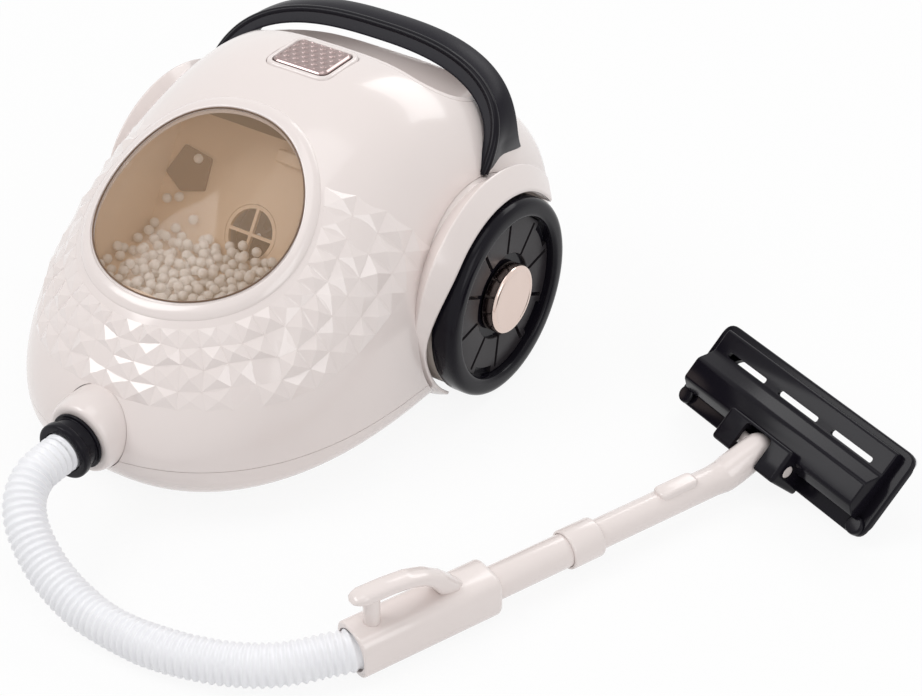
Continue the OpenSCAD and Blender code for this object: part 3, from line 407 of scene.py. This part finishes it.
def half_shell(name, stations, side):
    """A walled shell over the upper (1) or lower (-1) half sections."""
    return rings(name, [[section(y, a, 0, side) for a in half_turn]
                        + [section(y, a, wall, side) for a in reversed(half_turn)] for y in stations])


def half_solid(name, stations, inset, side=1):
    return rings(name, [[section(y, a, inset, side) for a in half_turn] for y in stations])


def upper_form(y):
    """Half width, foot, height and power of the upper section."""
    return width_at(y), seam_at(y), top_at(y) - seam_at(y), power_at(y)


def skin(x, y, z):
    """The point on the upper skin in the direction of (x, z) within its own section."""
    w, b, h, p = upper_form(y)
    s = (abs(x / w) ** p + abs((z - b) / h) ** p) ** (-1 / p)
    return Vector((x * s, y, b + (z - b) * s))


def roof(x, y):
    """The upper skin over a point of the plan."""
    w, b, h, p = upper_form(y)
    return Vector((x, y, b + h * max(0.0, 1 - abs(x / w) ** p) ** (1 / p)))


def out_of(q):
    """The skin's outward direction, by small steps of its own form."""
    def form(v):
        w, b, h, p = upper_form(v.y)
        return abs(v.x / w) ** p + abs((v.z - b) / h) ** p
    steps = [Vector(d) * 0.05 for d in ((1, 0, 0), (0, 1, 0), (0, 0, 1))]
    return Vector([form(q + d) - form(q - d) for d in steps]).normalized()


def on_axle(side):
    return lambda y, z, x: Vector((side * x, y, axle_z + z))


def along_nose(x, z, y):
    return Vector((x, y, hose_z + z))


def upright(x, y, z):
    return Vector((x, y, z))


def across(y, z, x):
    return Vector((x, y, z))


def wheel_room(side):
    r, floor_x, out_x = cup_r + cup_gap, cup_floor - cup_gap, 90
    return turned("room", [(0, floor_x), (r, floor_x), (r, out_x), (0, out_x)], on_axle(side), 128)


def capsule(r):
    """The finger trough's round-ended form across the body."""
    ends = [rad(90 * k / 12) for k in range(13)]
    side = [(r * sin(a), -well_half - r * cos(a)) for a in ends]
    side += [(r * cos(a), well_half + r * sin(a)) for a in ends]
    return turned("well", side, lambda y, z, x: Vector((x, well_y + y, well_z + z)), 72)


def button_room(gap, reach, steps=6):
    """The button's outline, grown by a gap."""
    x, y = button_w / 2 + gap, button_len / 2 + gap
    return box_outline(-x, x, button_y - y, button_y + y, reach, steps)


def egg(a, grow=0.0):
    """The window's egg-shaped outline in the plan, grown if asked."""
    reach = (0.51 if sin(a) < 0 else 0.49) * window_len
    return Vector(((window_half + grow) * cos(a), window_y + (reach + grow) * sin(a)))


window_turns = 120
lean = math.tan(rad(handle_lean))
rear_side = [Vector(p) for p in ((7 - 42.6 * lean, axle_z), (7 + 60 * lean, 140.6), (140, 140.6), (140, -20),
                                 (-19, -20), (-19, axle_z))]


def rear_block():
    return slab("rear_block", rear_side, levels(-120, 120), across)


def socket_hole():
    return turned("hole", [(0, -150), (14.2, -150), (14.2, 10), (0, 10)], along_nose, 72)


nose = [crown_y - nose_len * cos(rad(90 * i / 56)) for i in range(1, 57)]
tail = [crown_y + tail_len * sin(rad(90 * i / 34)) for i in range(1, 35)]

hood = half_shell("hood_shell", nose + tail[:26], 1)
window_hole = slab("window", [egg(a) for a in full_turn(window_turns)], levels(30, 140), upright)
button_seat = slab("seat", button_room(seat_gap, 5.6), levels(90, 140), upright)
combine(hood, [rear_block(), window_hole, button_seat, capsule(well_r), wheel_room(1), wheel_room(-1),
               socket_hole()])
done(hood, ivory, "body", "hood")

rear = half_shell("rear_shell", nose[40:] + tail[:-2], 1)
end_wall = [68.0, 68.7, 69.3, 70.0]
rear_cap = half_solid("rear_cap", end_wall, 0.1)
combine(rear, [rear_block()], "INTERSECT")
combine(rear, [capsule(well_r), wheel_room(1), wheel_room(-1)])
done(join("rear_shell", [rear, rear_cap]), ivory, "body", "rear_housing")

tub = half_shell("lower_shell", nose + tail[:-2], -1)
combine(tub, [wheel_room(1), wheel_room(-1), socket_hole(),
              turned("caster_hole", [(0, -5), (caster_hole_r, -5), (caster_hole_r, 16), (0, 16)],
                     lambda x, y, z: Vector((x, caster_y + y, z)), 72),
              slab("bay", box_outline(-bay_half_x, bay_half_x, -bay_half_y, bay_half_y, 0.5, 2), levels(-5, 16),
                   upright)])
tub_cap = half_solid("tub_cap", end_wall, 0.1, -1)
done(join("lower_shell", [tub, tub_cap]), ivory, "body", "base_tub")

well = combine(capsule(well_r - 0.2), [capsule(well_r - wall)])
combine(well, [half_solid("trim", [-9.0] + tail, 0.05)], "INTERSECT")
done(well, ivory, "body", "handle_well")

# ---- window: pane, raised rim, dark edge line and the facets below and beside it
pane_rows = 22


def pane_at(inset):
    def at(u, v):
        a = 2 * math.pi * u
        p = egg(a, -0.25)
        q = Vector((p.x * v, window_y + (p.y - window_y) * v))
        return roof(q.x, q.y) - out_of(roof(q.x if abs(q.x) > 0.01 else 0.01, q.y)) * inset
    return at


top_face, low_face = pane_at(0.35), pane_at(1.9)
pane = patch("window_glass", window_turns, 2 * pane_rows,
             lambda u, v: top_face(u, 2 * v) if v <= 0.5 else low_face(u, 2 - 2 * v))
done(pane, amber, "body", "window_pane")


def ring_on_skin(name, grow, profile, turns=160):
    """A profile of (outward, up) points swept round the window on the skin."""
    loops = []
    for k in range(turns):
        a = 2 * math.pi * k / turns
        here, wider = egg(a, grow), egg(a, grow + 0.5)
        q, o = roof(here.x, here.y), roof(wider.x, wider.y)
        n = out_of(q)
        side = (o - q).normalized()
        loops.append([q + side * s + n * h for s, h in profile])
    return rings(name, loops + loops[:1], False)


rim_profile = soft([(-2.6, -1.6, 0.2), (-2.6, 0.75, 0.7), (0.4, 1.05, 0.9), (3.2, 0.1, 1.2),
                    (3.2, -1.6, 0.2)])
done(ring_on_skin("window_rim", 2.6, rim_profile), ivory, "body", "hood", 50)
edge_profile = [(0.32 * cos(rad(45 * k)), 0.15 + 0.32 * sin(rad(45 * k))) for k in range(8)]
done(ring_on_skin("window_edge", -0.1, edge_profile), brown, "body", "window_pane", 60)

random.seed(11)
columns, rows = 30, 4
facet_rise, facet_root, facet_lift, facet_stray = 1.15, 0.7, 0.06, 0.9
low_line, low_steps = [], 120
for k in range(low_steps + 1):
    y = -27 - 102.4 * (k / low_steps) ** 0.8
    z = 44 + 24 * max(0.0, (y + 94) / 65) ** 1.3
    w, b, h, p = upper_form(y)
    low_line.append(Vector((w * max(0.0, 1 - ((z - b) / h) ** p) ** (1 / p), y, z)))
low_line += [Vector((-q.x, q.y, q.z)) for q in reversed(low_line[:-1])]
run = [0.0]
for a, b in zip(low_line, low_line[1:]):
    run.append(run[-1] + (b - a).length)


def low_at(share):
    """The point at that share of the band's lower edge, from right to left."""
    d = share * run[-1]
    i = next((k for k in range(len(run) - 1) if run[k + 1] >= d), len(run) - 2)
    return low_line[i].lerp(low_line[i + 1], (d - run[i]) / (run[i + 1] - run[i]))


base = []
for j in range(rows + 1):
    line_j = []
    for i in range(columns + 1):
        share = i / columns
        p = egg(rad(34 - 248 * share), 6.6)
        q = roof(p.x, p.y).lerp(low_at(share), j / rows)
        if 0 < j < rows and 0 < i < columns:
            q += Vector([random.uniform(-facet_stray, facet_stray) for _ in range(3)])
        line_j.append(skin(q.x, q.y, q.z))
    base.append(line_j)
points, faces = [], []
for j in range(rows):
    for i in range(columns):
        ring = [base[j][i], base[j][i + 1], base[j + 1][i + 1], base[j + 1][i]]
        mid = sum(ring, Vector()) / 4
        n = out_of(skin(mid.x, mid.y, mid.z))
        shrink = [mid + (q - mid) * 0.985 for q in ring]
        k = len(points)
        tip = mid + n * (facet_rise + random.uniform(-0.15, 0.15))
        tip += Vector([random.uniform(-0.8, 0.8) for _ in range(3)])
        points += [q + n * facet_lift for q in shrink] + [tip] + [q - n * facet_root for q in shrink]
        faces += [(k + c, k + (c + 1) % 4, k + 4) for c in range(4)]
        faces += [(k + 5 + c, k + 5 + (c + 1) % 4, k + (c + 1) % 4, k + c) for c in range(4)]
        faces += [(k + 8, k + 7, k + 6, k + 5)]
mesh = bpy.data.meshes.new("facet_band")
mesh.from_pydata([q * MM for q in points], [], faces)
facets = bpy.data.objects.new("facet_band", mesh)
scene.collection.objects.link(facets)
mend(facets)
done(facets, facet_ivory, "body", "hood", 0)

# ---- tray: the solid one shows, with a dark sheet of painted shade on its slope, a beam and the loose foam balls
tilt_c, tilt_s = cos(rad(tray_tilt)), sin(rad(tray_tilt))


def on_slope(x, s, h):
    """A point s up the tray's slope and h over it."""
    return Vector((x, tray_slope_y + s * tilt_c - h * tilt_s, tray_floor + s * tilt_s + h * tilt_c))


# a thin dark sheet lying on the tray's slope: painted shade in place of the shadow there
shade_patch = slab("tray_shade_patch", soft([(-43, 23, 1), (-34, 18, 1), (-24, 21, 1), (-25, 33, 1), (-38, 35, 1)], 3),
            levels(0.05, 1.2, 0, 0.4), on_slope)
done(shade_patch, brown, "body", "")
beam = slab("tray_beam", box_outline(2, 40, 40, 45, 1.5), levels(0.05, 3.4, 0, 1), on_slope)
done(beam, peach, "body", "")
balls = []
singles = [on_slope(x, s, foam_r) for x, s in ((-30, 31.5), (-33, 16), (-38, 14), (-24, 10), (-40, 4))]
for _ in range(foam_count):    # each ball takes the lowest of a few tried places
    best = None
    for _ in range(foam_tries):
        x = max(-41, min(41, random.gauss(10, 21)))
        y = random.uniform(-102, -48)
        z = tray_floor + foam_r
        z = max(z, tray_floor + (foam_r + (y - tray_slope_y) * tilt_s) / tilt_c)
        for q in balls:
            flat = (q.x - x) ** 2 + (q.y - y) ** 2
            if flat < 4 * foam_r ** 2:
                z = max(z, q.z + (4 * foam_r ** 2 - flat) ** 0.5)
        score = z - 0.06 * x
        if roof(x, y).z - z > 5.5 and (best is None or score < best[0]):
            best = (score, Vector((x, y, z)))
    if best:
        balls.append(best[1])
bpy.ops.object.select_all(action="DESELECT")
bpy.ops.mesh.primitive_ico_sphere_add(subdivisions=2, radius=(foam_r - foam_gap) * MM)
ball = bpy.context.object
copies = []
for q in balls + singles:
    c = ball.copy()
    c.data = ball.data.copy()
    c.data.transform(Matrix.Translation(q * MM))
    scene.collection.objects.link(c)
    copies.append(c)
bpy.data.objects.remove(ball, do_unlink=True)
done(join("foam_heap", copies), foam, "body", "foam_balls", 60)

# ---- power button with rows of lens-shaped dimples, in its raised surround
edge_round, edge_drop = 1.2, 0.7
dimple_w, dimple_len, dimple_depth, plain_x, plain_y = 4.1, 2.7, 0.42, 1.4, 1.3


def button_face(u, v):
    """The dimpled face with rounded corners and a soft edge."""
    x, y = button_w * (u - 0.5), button_len * (v - 0.5)
    half_x, half_y = button_w / 2, button_len / 2
    corner = [max(0.0, abs(x) - half_x + button_corner), max(0.0, abs(y) - half_y + button_corner)]
    far = math.hypot(*corner)
    if far > button_corner:
        x -= math.copysign(corner[0] * (1 - button_corner / far), x)
        y -= math.copysign(corner[1] * (1 - button_corner / far), y)
    if far > 0:
        edge = min(1.0, (button_corner - min(far, button_corner)) / edge_round)
    else:
        edge = 1.0
    row = math.floor((y + 20) / dimple_len)
    dx = (x + 40 + dimple_w / 2 * (row % 2)) % dimple_w - dimple_w / 2
    dy = (y + 20) % dimple_len - dimple_len / 2
    lens_depth = max(0.0, 1 - (dx / 1.75) ** 2 - (dy / 0.95) ** 2)
    inside = 1.0 if abs(x) < half_x - plain_x and abs(y) < half_y - plain_y else 0.0
    z = button_top - edge_drop * (1 - edge) ** 2 - dimple_depth * lens_depth * inside
    return Vector((x, button_y + y, z))


button = patch("power_button_cap", 150, 118, button_face)
pick(button)
bpy.ops.object.mode_set(mode="EDIT")
bpy.ops.mesh.select_all(action="SELECT")
bpy.ops.mesh.region_to_loop()
bpy.ops.mesh.extrude_edges_move(TRANSFORM_OT_translate={"value": (0, 0, -button_skirt * MM)})
bpy.ops.object.mode_set(mode="OBJECT")
mend(button, True)
stem = turned("button_stem", [(0, 103.3), (2.5, 103.3), (2.5, 111), (0, 111)],
              lambda x, y, z: Vector((x, button_y + y, z)), 40)
# the button takes the darkened rose gold, painted shade
done(join("power_button_cap", [button, stem]), shaded_rose_gold, "button", "power_button", 40)

surround = button_room(button_gap, button_corner + button_gap, 8)
n_pts = len(surround)
profile = soft([(0.05, 110.2, 0.1), (0.05, 115.05, 0.45), (1.5, 115.15, 0.6), (2.15, 114.2, 0.5),
                (2.15, 110.2, 0.1)], 4)
loops = []
for i in range(n_pts + 1):
    p, d = surround[i % n_pts], surround[(i + 1) % n_pts] - surround[i % n_pts - 1]
    o = Vector((d.y, -d.x)).normalized()
    loops.append([Vector((p.x + o.x * s, p.y + o.y * s, z)) for s, z in profile])
surround_ring = rings("button_surround", loops, False)
legs = [slab("leg", box_outline(x, x + 1.8, button_y - 4, button_y + 4, 0.3, 2), levels(94.6, 111), upright)
        for x in (12.2, -14.0)]
done(join("button_surround", [surround_ring] + legs), ivory, "body", "button_bezel", 40)

# ---- carry handle: a satin band with a glossy bead along its front edge
handle_rise, handle_t, handle_depth, bead_r, handle_rows = 30.4, 4.6, 11, 1.75, 120
inner_half = handle_half - handle_t
band, bead = [], []
for k in range(handle_rows + 1):
    a = math.pi * k / handle_rows
    c, s = spow(cos(a), 2 / 2.6), max(0.0, sin(a)) ** (2 / 2.6)
    e = (1 - s) ** 3
    z, inner = handle_foot + handle_rise * s, handle_foot + (handle_rise - handle_t) * s
    depth, tuck, drop = handle_depth + 22 * e, 5 * e, 5.4 * e
    front, front_in = (handle_front + (v - handle_foot + 0.2) * lean for v in (z, inner))
    dip = 0.8 - 2.0 * min(1, 2 * e)
    corners = [Vector((handle_half * c, front, z)),
               Vector(((handle_half + dip - tuck / 2) * c, front + depth / 2, z + dip * s - drop / 2)),
               Vector(((handle_half - tuck) * c, front + depth, z - drop)),
               Vector(((inner_half - tuck) * c, front + depth, inner - drop)),
               Vector((inner_half * c, front_in, inner))]
    ring = []
    for i, v in enumerate(corners):
        p, q = corners[i - 1], corners[(i + 1) % 5]
        reach = 3.0 if i == 1 else 1.1
        p, q = v + (p - v).normalized() * reach, v + (q - v).normalized() * reach
        ring += [p * (1 - t) ** 2 + v * 2 * t * (1 - t) + q * t * t for t in (0, 0.25, 0.5, 0.75, 1)]
    band.append(ring)
    across_band, through_band = corners[2] - corners[0], corners[4] - corners[0]
    bead.append(corners[0] + across_band.normalized() * 1.5 + through_band.normalized() * 1.1)
done(rings("handle_band", band), satin_black, "body", "carry_handle", 50)
loops = []
for i, p in enumerate(bead):
    d = (bead[min(i + 1, handle_rows)] - bead[max(i - 1, 0)]).normalized()
    u = d.cross(Vector((0, 1, 0))).normalized()
    w = u.cross(d)
    loops.append([p + (u * cos(t) + w * sin(t)) * bead_r for t in full_turn(14)])
done(rings("handle_bead", loops), gloss_black, "body", "carry_handle", 60)

# ---- wheels, caps and wells, the same on both sides
for side, name in ((1, "right"), (-1, "left")):
    axle = on_axle(side)
    wheel = "wheel_" + name
    tyre = soft([(2.05, 61.8, 0.2), (8, 61.8, 0.4), (8, 73.6, 0.3), (31, 73.6, 0.3), (31, 71.6, 0.3),
                 (wheel_r, 71.6, 2.2), (wheel_r, 81.6, 3.6), (30.8, 81.6, 2.0), (30.8, 76.5, 0.2),
                 (2.05, 76.5, 0.2)], 6)
    done(turned("wheel_tyre_" + name, tyre, axle, 144), gloss_black, wheel, wheel)
    # the drum takes the darkened ivory, painted shade for the well's shadow
    drum = soft([(33, 61.7, 0.3), (37.0, 61.7, 0.8), (37.0, 71.8, 0.1), (33, 71.8, 0.1)], 4)
    done(turned("wheel_drum_" + name, drum, axle, 128), shaded_drum_ivory, wheel, wheel)
    dish = soft([(16.4, 76.4, 0.1), (30.5, 76.4, 0.1), (30.5, 78, 0.3), (16.4, 78, 0.5)], 3)
    plate = turned("wheel_dish_" + name, dish, axle, 160)
    cutters = []
    for i in range(10):
        a = rad(36 * i + 8)

        def spoke(x, y, z, a=a):
            return axle(x * cos(a) - y * sin(a), x * sin(a) + y * cos(a), z)
        cutters.append(slab("groove", box_outline(14, 29.3, -0.75, 0.75, 0.4, 2), levels(75, 80), spoke))
        if i % 2 == 0:
            bow = [Vector((rr * cos(rad(t)), rr * sin(rad(t)))) for rr, ts in
                   ((27.6, range(6, 31, 3)), (32, range(30, 5, -3))) for t in ts]
            cutters.append(slab("notch", bow, levels(75, 80), spoke))
    combine(plate, cutters)
    done(plate, dish_grey, wheel, wheel)
    cap = soft([(0, 77.6, 0), (13.2, 77.6, 0.1), (13.2, 82.9, 1.5), (11.2, 82.9, 0.3), (10.9, 82.7, 0.2),
                (0, 82.7, 0)], 6)
    done(turned("wheel_cap_" + name, cap, axle, 96), gold, wheel, "hub_cap_" + name)
    cup = turned("wheel_cup_" + name, [(2.1, cup_floor), (cup_r, cup_floor), (cup_r, 66), (cup_in, 66),
                                       (cup_in, cup_floor + wall), (2.1, cup_floor + wall)], axle, 128)
    boss = turned("wheel_boss_" + name, [(2.1, 50.6), (5, 50.6), (5, 57.6), (2.1, 57.6)], axle, 48)
    combine(cup, [slab("floor_cut", box_outline(-60, 60, -60, 60, 0.1, 1), levels(-20, 7),
                       lambda y, x, z: Vector((side * (70 + x), y, z)))])
    loops = []
    for k in range(97):    # the arch thins out towards the front
        turn = 37 + 194 * k / 96
        s = min(1, max(0, (195 - turn) / 60))
        s = s * s * (3 - 2 * s)
        fender = soft([(cup_in, 65.5, 0.1), (cup_r, 65.5, 0.1), (41.7 + 6.8 * s, 68.3 + 4.2 * s, 0.8),
                       (40.7, 71 + 7.3 * s, 0.5), (cup_in, 71 + 7.3 * s, 0.3)], 5)
        loops.append([axle(r * cos(rad(turn)), r * sin(rad(turn)), x) for r, x in fender])
    arch = rings("arch_" + name, loops)
    done(join("fender_" + name, [arch, cup, boss]), ivory, "body", "wheel_well_" + name)

# ---- hose socket and collar
boss = soft([(9.4, -142.4, 0.4), (12.9, -142.4, 1.6), (14, -138, 2), (14, -126.4, 0.3), (9.4, -126.4, 0.3)], 6)
done(turned("hose_boss", boss, along_nose, 96), ivory, "body", "hose_socket", 40)
collar_r, groove_r = 10.45, 9.2
collar = soft([(5.8, -144.4, 0.2), (7.5, -144.4, 0.1), (7.5, -150.8, 0.4), (collar_r, -150.8, 1.1),
               (collar_r, -147.6, 0.9), (groove_r, -147.6, 0.5), (groove_r, -143.8, 0.4), (collar_r, -143.8, 0.5),
               (collar_r, -142.6, 0.5), (groove_r, -142.6, 0.1), (groove_r, -126.6, 0.3), (5.8, -126.6, 0.3)], 5)
done(turned("hose_cuff", collar, along_nose, 96), gloss_black, "body", "hose_collar", 40)


# ---- wand: grip with its finger loop, tubes, coupler and the bent neck
def down_wand(t, h, s):
    return wand(s, t, h)


grip = slab("grip_block", box_outline(-8.3, 8.3, -8.2, 8.2, 5.6, 8), levels(0, 53, 0.7, 2.0), down_wand)
grip_bore = [(0, -2), (7.5, -2), (7.5, 13.2), (4.8, 13.4), (4.8, 44), (6.1, 45), (6.1, 56), (0, 56)]
combine(grip, [turned("bore", grip_bore, down_wand, 64)])
loop_top = [(0, .91), (.03, .98), (.09, 1), (.3, .99), (.5, .95), (.66, .86), (.8, .69), (1, .3)]
loop_under = [(.03, .84), (.1, .8), (.35, .79), (.5, .75), (.6, .68), (.68, .56), (.76, .32), (1, .1)]


def along(table, x):
    """The height of an outline over x, between its points."""
    for (a, p), (b, q) in zip(table, table[1:]):
        if x <= b:
            return p + (q - p) * max(0.0, (x - a) / (b - a))
    return table[-1][1]


loop_len, loop_up, loop_half_w, loop_rows = 43, 22.4, 3.75, 40
loops = []
for k in range(loop_rows + 1):
    t = k / loop_rows
    under = max(t, 0.03)
    hi = Vector((t * loop_len, along(loop_top, t) * loop_up))
    lo = Vector((under * loop_len * (0.76 if t > 0.9 else 1), along(loop_under, under) * loop_up))
    mid, half = (hi + lo) / 2, (hi - lo) / 2
    small = min(1, 0.35 + (k / 4) ** 0.5 * 0.65) if k < 4 else 1
    ring = []
    for a in full_turn(20):
        p = mid + half * small * spow(sin(a), 0.75)
        ring.append(wand(p.x, loop_half_w * small * spow(cos(a), 0.75), p.y))
    loops.append(ring)
bow = rings("grip_bow", loops)
post = turned("grip_post", soft([(0, 6, 0), (2.8, 6, 0.1), (2.8, 20.6, 0.2), (0, 20.6, 0)], 2),
              lambda x, y, z: wand(8 + x, y, z), 40)
wand_grip = done(join("wand_grip", [grip, bow, post]), ivory, "body", "grip", 40)
pipe = soft([(4.7, 45.2, 0.1), (5.9, 45.2, 0.3), (5.9, 86.8, 0.1), (4.7, 86.8, 0.1)], 3)
done(turned("wand_rear_tube", pipe, down_wand, 72), ivory, "body", "rear_tube", 40)
sleeve_line = soft([(6.05, 82.8, 0.1), (7, 82.8, 0.8), (7, 95.6, 1.2), (5.5, 95.6, 0.2), (5.5, 87, 0.1),
                    (6.05, 87, 0.1)], 4)
done(turned("wand_coupler", sleeve_line, down_wand, 72), ivory, "body", "tube_coupler", 40)
tube_r, neck_r, bend_at, bend_len = 5.3, 5.7, 151.1, 10
lift_c, lift_s = cos(rad(neck_lift)), sin(rad(neck_lift))
stations = [(s, 0, 0, tube_r) for s in (87.2, 110, 143)]    # place, rise, lift and radius along the neck
for k in range(13):
    q = k / 12
    s = bend_len * (q - 0.5)
    stations.append((bend_at + s * (lift_c if s > 0 else 1), s * lift_s if s > 0 else 0, neck_lift * q,
                     tube_r + 0.7 * sin(rad(90 * q))))
for k in range(8):
    t = rad(86 * k / 7)
    stations.append((bar_at + neck_r * sin(t) * lift_c, bar_up + neck_r * sin(t) * lift_s, neck_lift,
                     neck_r * cos(t)))
neck = rings("wand_neck", [[wand(s - r * sin(a) * sin(rad(h)), r * cos(a), z + r * sin(a) * cos(rad(h)))
                            for a in full_turn(36)] for s, z, h, r in stations])
pad = slab("wand_pad", box_outline(122, 138, -3.2, 3.2, 2.4), levels(2.7, 6.6, 0, 1.1), wand)
bar = turned("wand_bar", soft([(0, -15.5, 0), (2.5, -15.5, 0.5), (2.5, 15.5, 0.5), (0, 15.5, 0)], 3),
             lambda x, z, t: wand(bar_at + x, t, bar_up + z), 48)
done(join("wand_front_tube", [neck, pad, bar]), ivory, "body", "front_tube", 40)
line[0] * MM
[p * MM for p in line[::4]]


# ---- floor head, in its own frame at the pivot bar
def head(x, y, z):
    c, s = cos(rad(head_pitch)), sin(rad(head_pitch))
    return wand(bar_at + x * c - z * s, y, bar_up + x * s + z * c)


def over_head(x, z, y):
    return head(x, y, z)


def ridge(t, reach):
    """The cover's side outline, drawn in by a wall t."""
    low = -10.3 - (2 if t else 0)
    back_x, front_x, step_z = 1 + t, 27.6 - t, -4.5
    return soft([(back_x, low, 0.6), (back_x, step_z, reach), (4.3 + t / 2, 1 - t, reach),
                 (13 - t / 2, 1 - t, reach), (18 - t / 2, step_z - t, reach), (front_x, step_z - t, reach),
                 (front_x, low, 0.6)], 4)


def room_tools():
    """The pivot bar's pocket, the neck's slot and the bar's bore, cut from what surrounds them."""
    return [slab("pocket", box_outline(-9, 3.6, -12.4, 12.4, 0.4), levels(-8.7, 3.4), head),
            slab("neck_slot", box_outline(-10, 5.9, -6.6, 6.6, 2.2), levels(-8.4, 9), head),
            turned("bar_hole", [(0, -18), (2.6, -18), (2.6, 18), (0, 18)], over_head, 40)]


cover = slab("head_plate", box_outline(head_back, head_front, -head_half, head_half, head_round),
             levels(-10.6, -8.6, 0, 0.7), head)
hull = slab("ridge", ridge(0, 1.2), levels(-43.5, 43.5, 0.5, 0.5, 3), over_head)
house = slab("house", box_outline(-6, 7, -16, 16, 1.6), levels(-10.4, 5.2, 0, 1.3), head)
bumps = [turned("bump", soft([(0, -9, 0), (3.4, -9, 0.1), (3.2, -6.9, 0.7), (0, -6.9, 0)], 4),
                lambda x, y, z, s=s: head(-0.7 + x, s * 44.2 + y, z), 40) for s in (-1, 1)]
slots = [slab("slot", box_outline(19.2, 21.2, y - 10, y + 10, 0.9), levels(-8, 0), head) for y in (-27, 0, 27)]
screws = [turned("hole", [(0, -12), (1.25, -12), (1.25, -9.6), (0, -9.6)],
                 lambda x, y, z, s=s: head(27 + x, s * 44.5 + y, z), 24) for s in (-1, 1)]
combine(cover, [slab("opening", box_outline(8.5, 26, -41.9, 41.9, 1), levels(-12, -7), head)] + screws)
combine(hull, [slab("hollow", ridge(1.6, 0.4), levels(-41.9, 41.9), over_head)] + slots + room_tools())
combine(house, room_tools())
cover = join("head_shell", [cover, hull, house] + bumps)
done(cover, gloss_black, "floor_head", "head_cover")


# ---- floor, light and background
def seen_directly(tree):
    """1 for rays from the camera, from a mirror or through glass, and 0 for the rays that light the part."""
    path = tree.nodes.new("ShaderNodeLightPath")
    camera_ray, mirror_ray, glass_ray = (Socket(tree, path.outputs[kind]) for kind in (
        "Is Camera Ray", "Is Glossy Ray", "Is Transmission Ray"))
    return camera_ray.math("MINIMUM", camera_ray + mirror_ray + glass_ray, 1.0)


bpy.ops.object.select_all(action="DESELECT")
bpy.ops.mesh.primitive_plane_add(size=8, location=(0, 0, -0.0002))
floor = bpy.context.object
floor.name = "floor"
m = bpy.data.materials.new("floor_white")
m.use_nodes = True
tree = m.node_tree
shader = next(n for n in tree.nodes if n.type == "BSDF_PRINCIPLED")
shader.inputs["Base Color"].default_value = (0.86, 0.86, 0.86, 1)
shader.inputs["Roughness"].default_value = 0.9
shader.inputs["Specular IOR Level"].default_value = 0.0
seen = seen_directly(tree) * 0.9
glow = seen.make("ShaderNodeEmission", {"Color": (1, 1, 1, 1), "Strength": 1.0})
both = seen.make("ShaderNodeMixShader", {0: seen, 1: Socket(tree, shader.outputs[0]), 2: glow})
tree.links.new(both.out, next(n for n in tree.nodes if n.type == "OUTPUT_MATERIAL").inputs["Surface"])
floor.data.materials.append(m)

world = bpy.data.worlds.new("studio")
scene.world = world
world.use_nodes = True
ground = next(n for n in world.node_tree.nodes if n.type == "BACKGROUND")
ground.inputs["Color"].default_value = (1, 1, 1, 1)
seen = seen_directly(world.node_tree)
world.node_tree.links.new((seen * 0.48 + 0.52).out, ground.inputs["Strength"])


def softbox(name, place, aim, size, power):
    light = bpy.data.lights.new(name, "AREA")
    light.shape, light.size, light.size_y, light.energy = "RECTANGLE", size[0], size[1], power
    obj = bpy.data.objects.new(name, light)
    scene.collection.objects.link(obj)
    obj.location = place
    obj.rotation_euler = (Vector(aim) - Vector(place)).to_track_quat("-Z", "Y").to_euler()


softbox("key", (-0.55, -0.55, 0.95), (0, -0.04, 0.05), (0.55, 0.55), 4.4)
softbox("fill", (0.95, -0.35, 0.6), (0.05, -0.02, 0.05), (0.5, 0.7), 2.3)
softbox("rear", (0.1, 0.9, 0.85), (0.03, 0, 0.06), (0.9, 0.4), 3.4)
softbox("top", (0.05, -0.1, 1.3), (0.05, -0.05, 0), (0.7, 0.7), 2.0)
scene.view_settings.view_transform = "Standard"
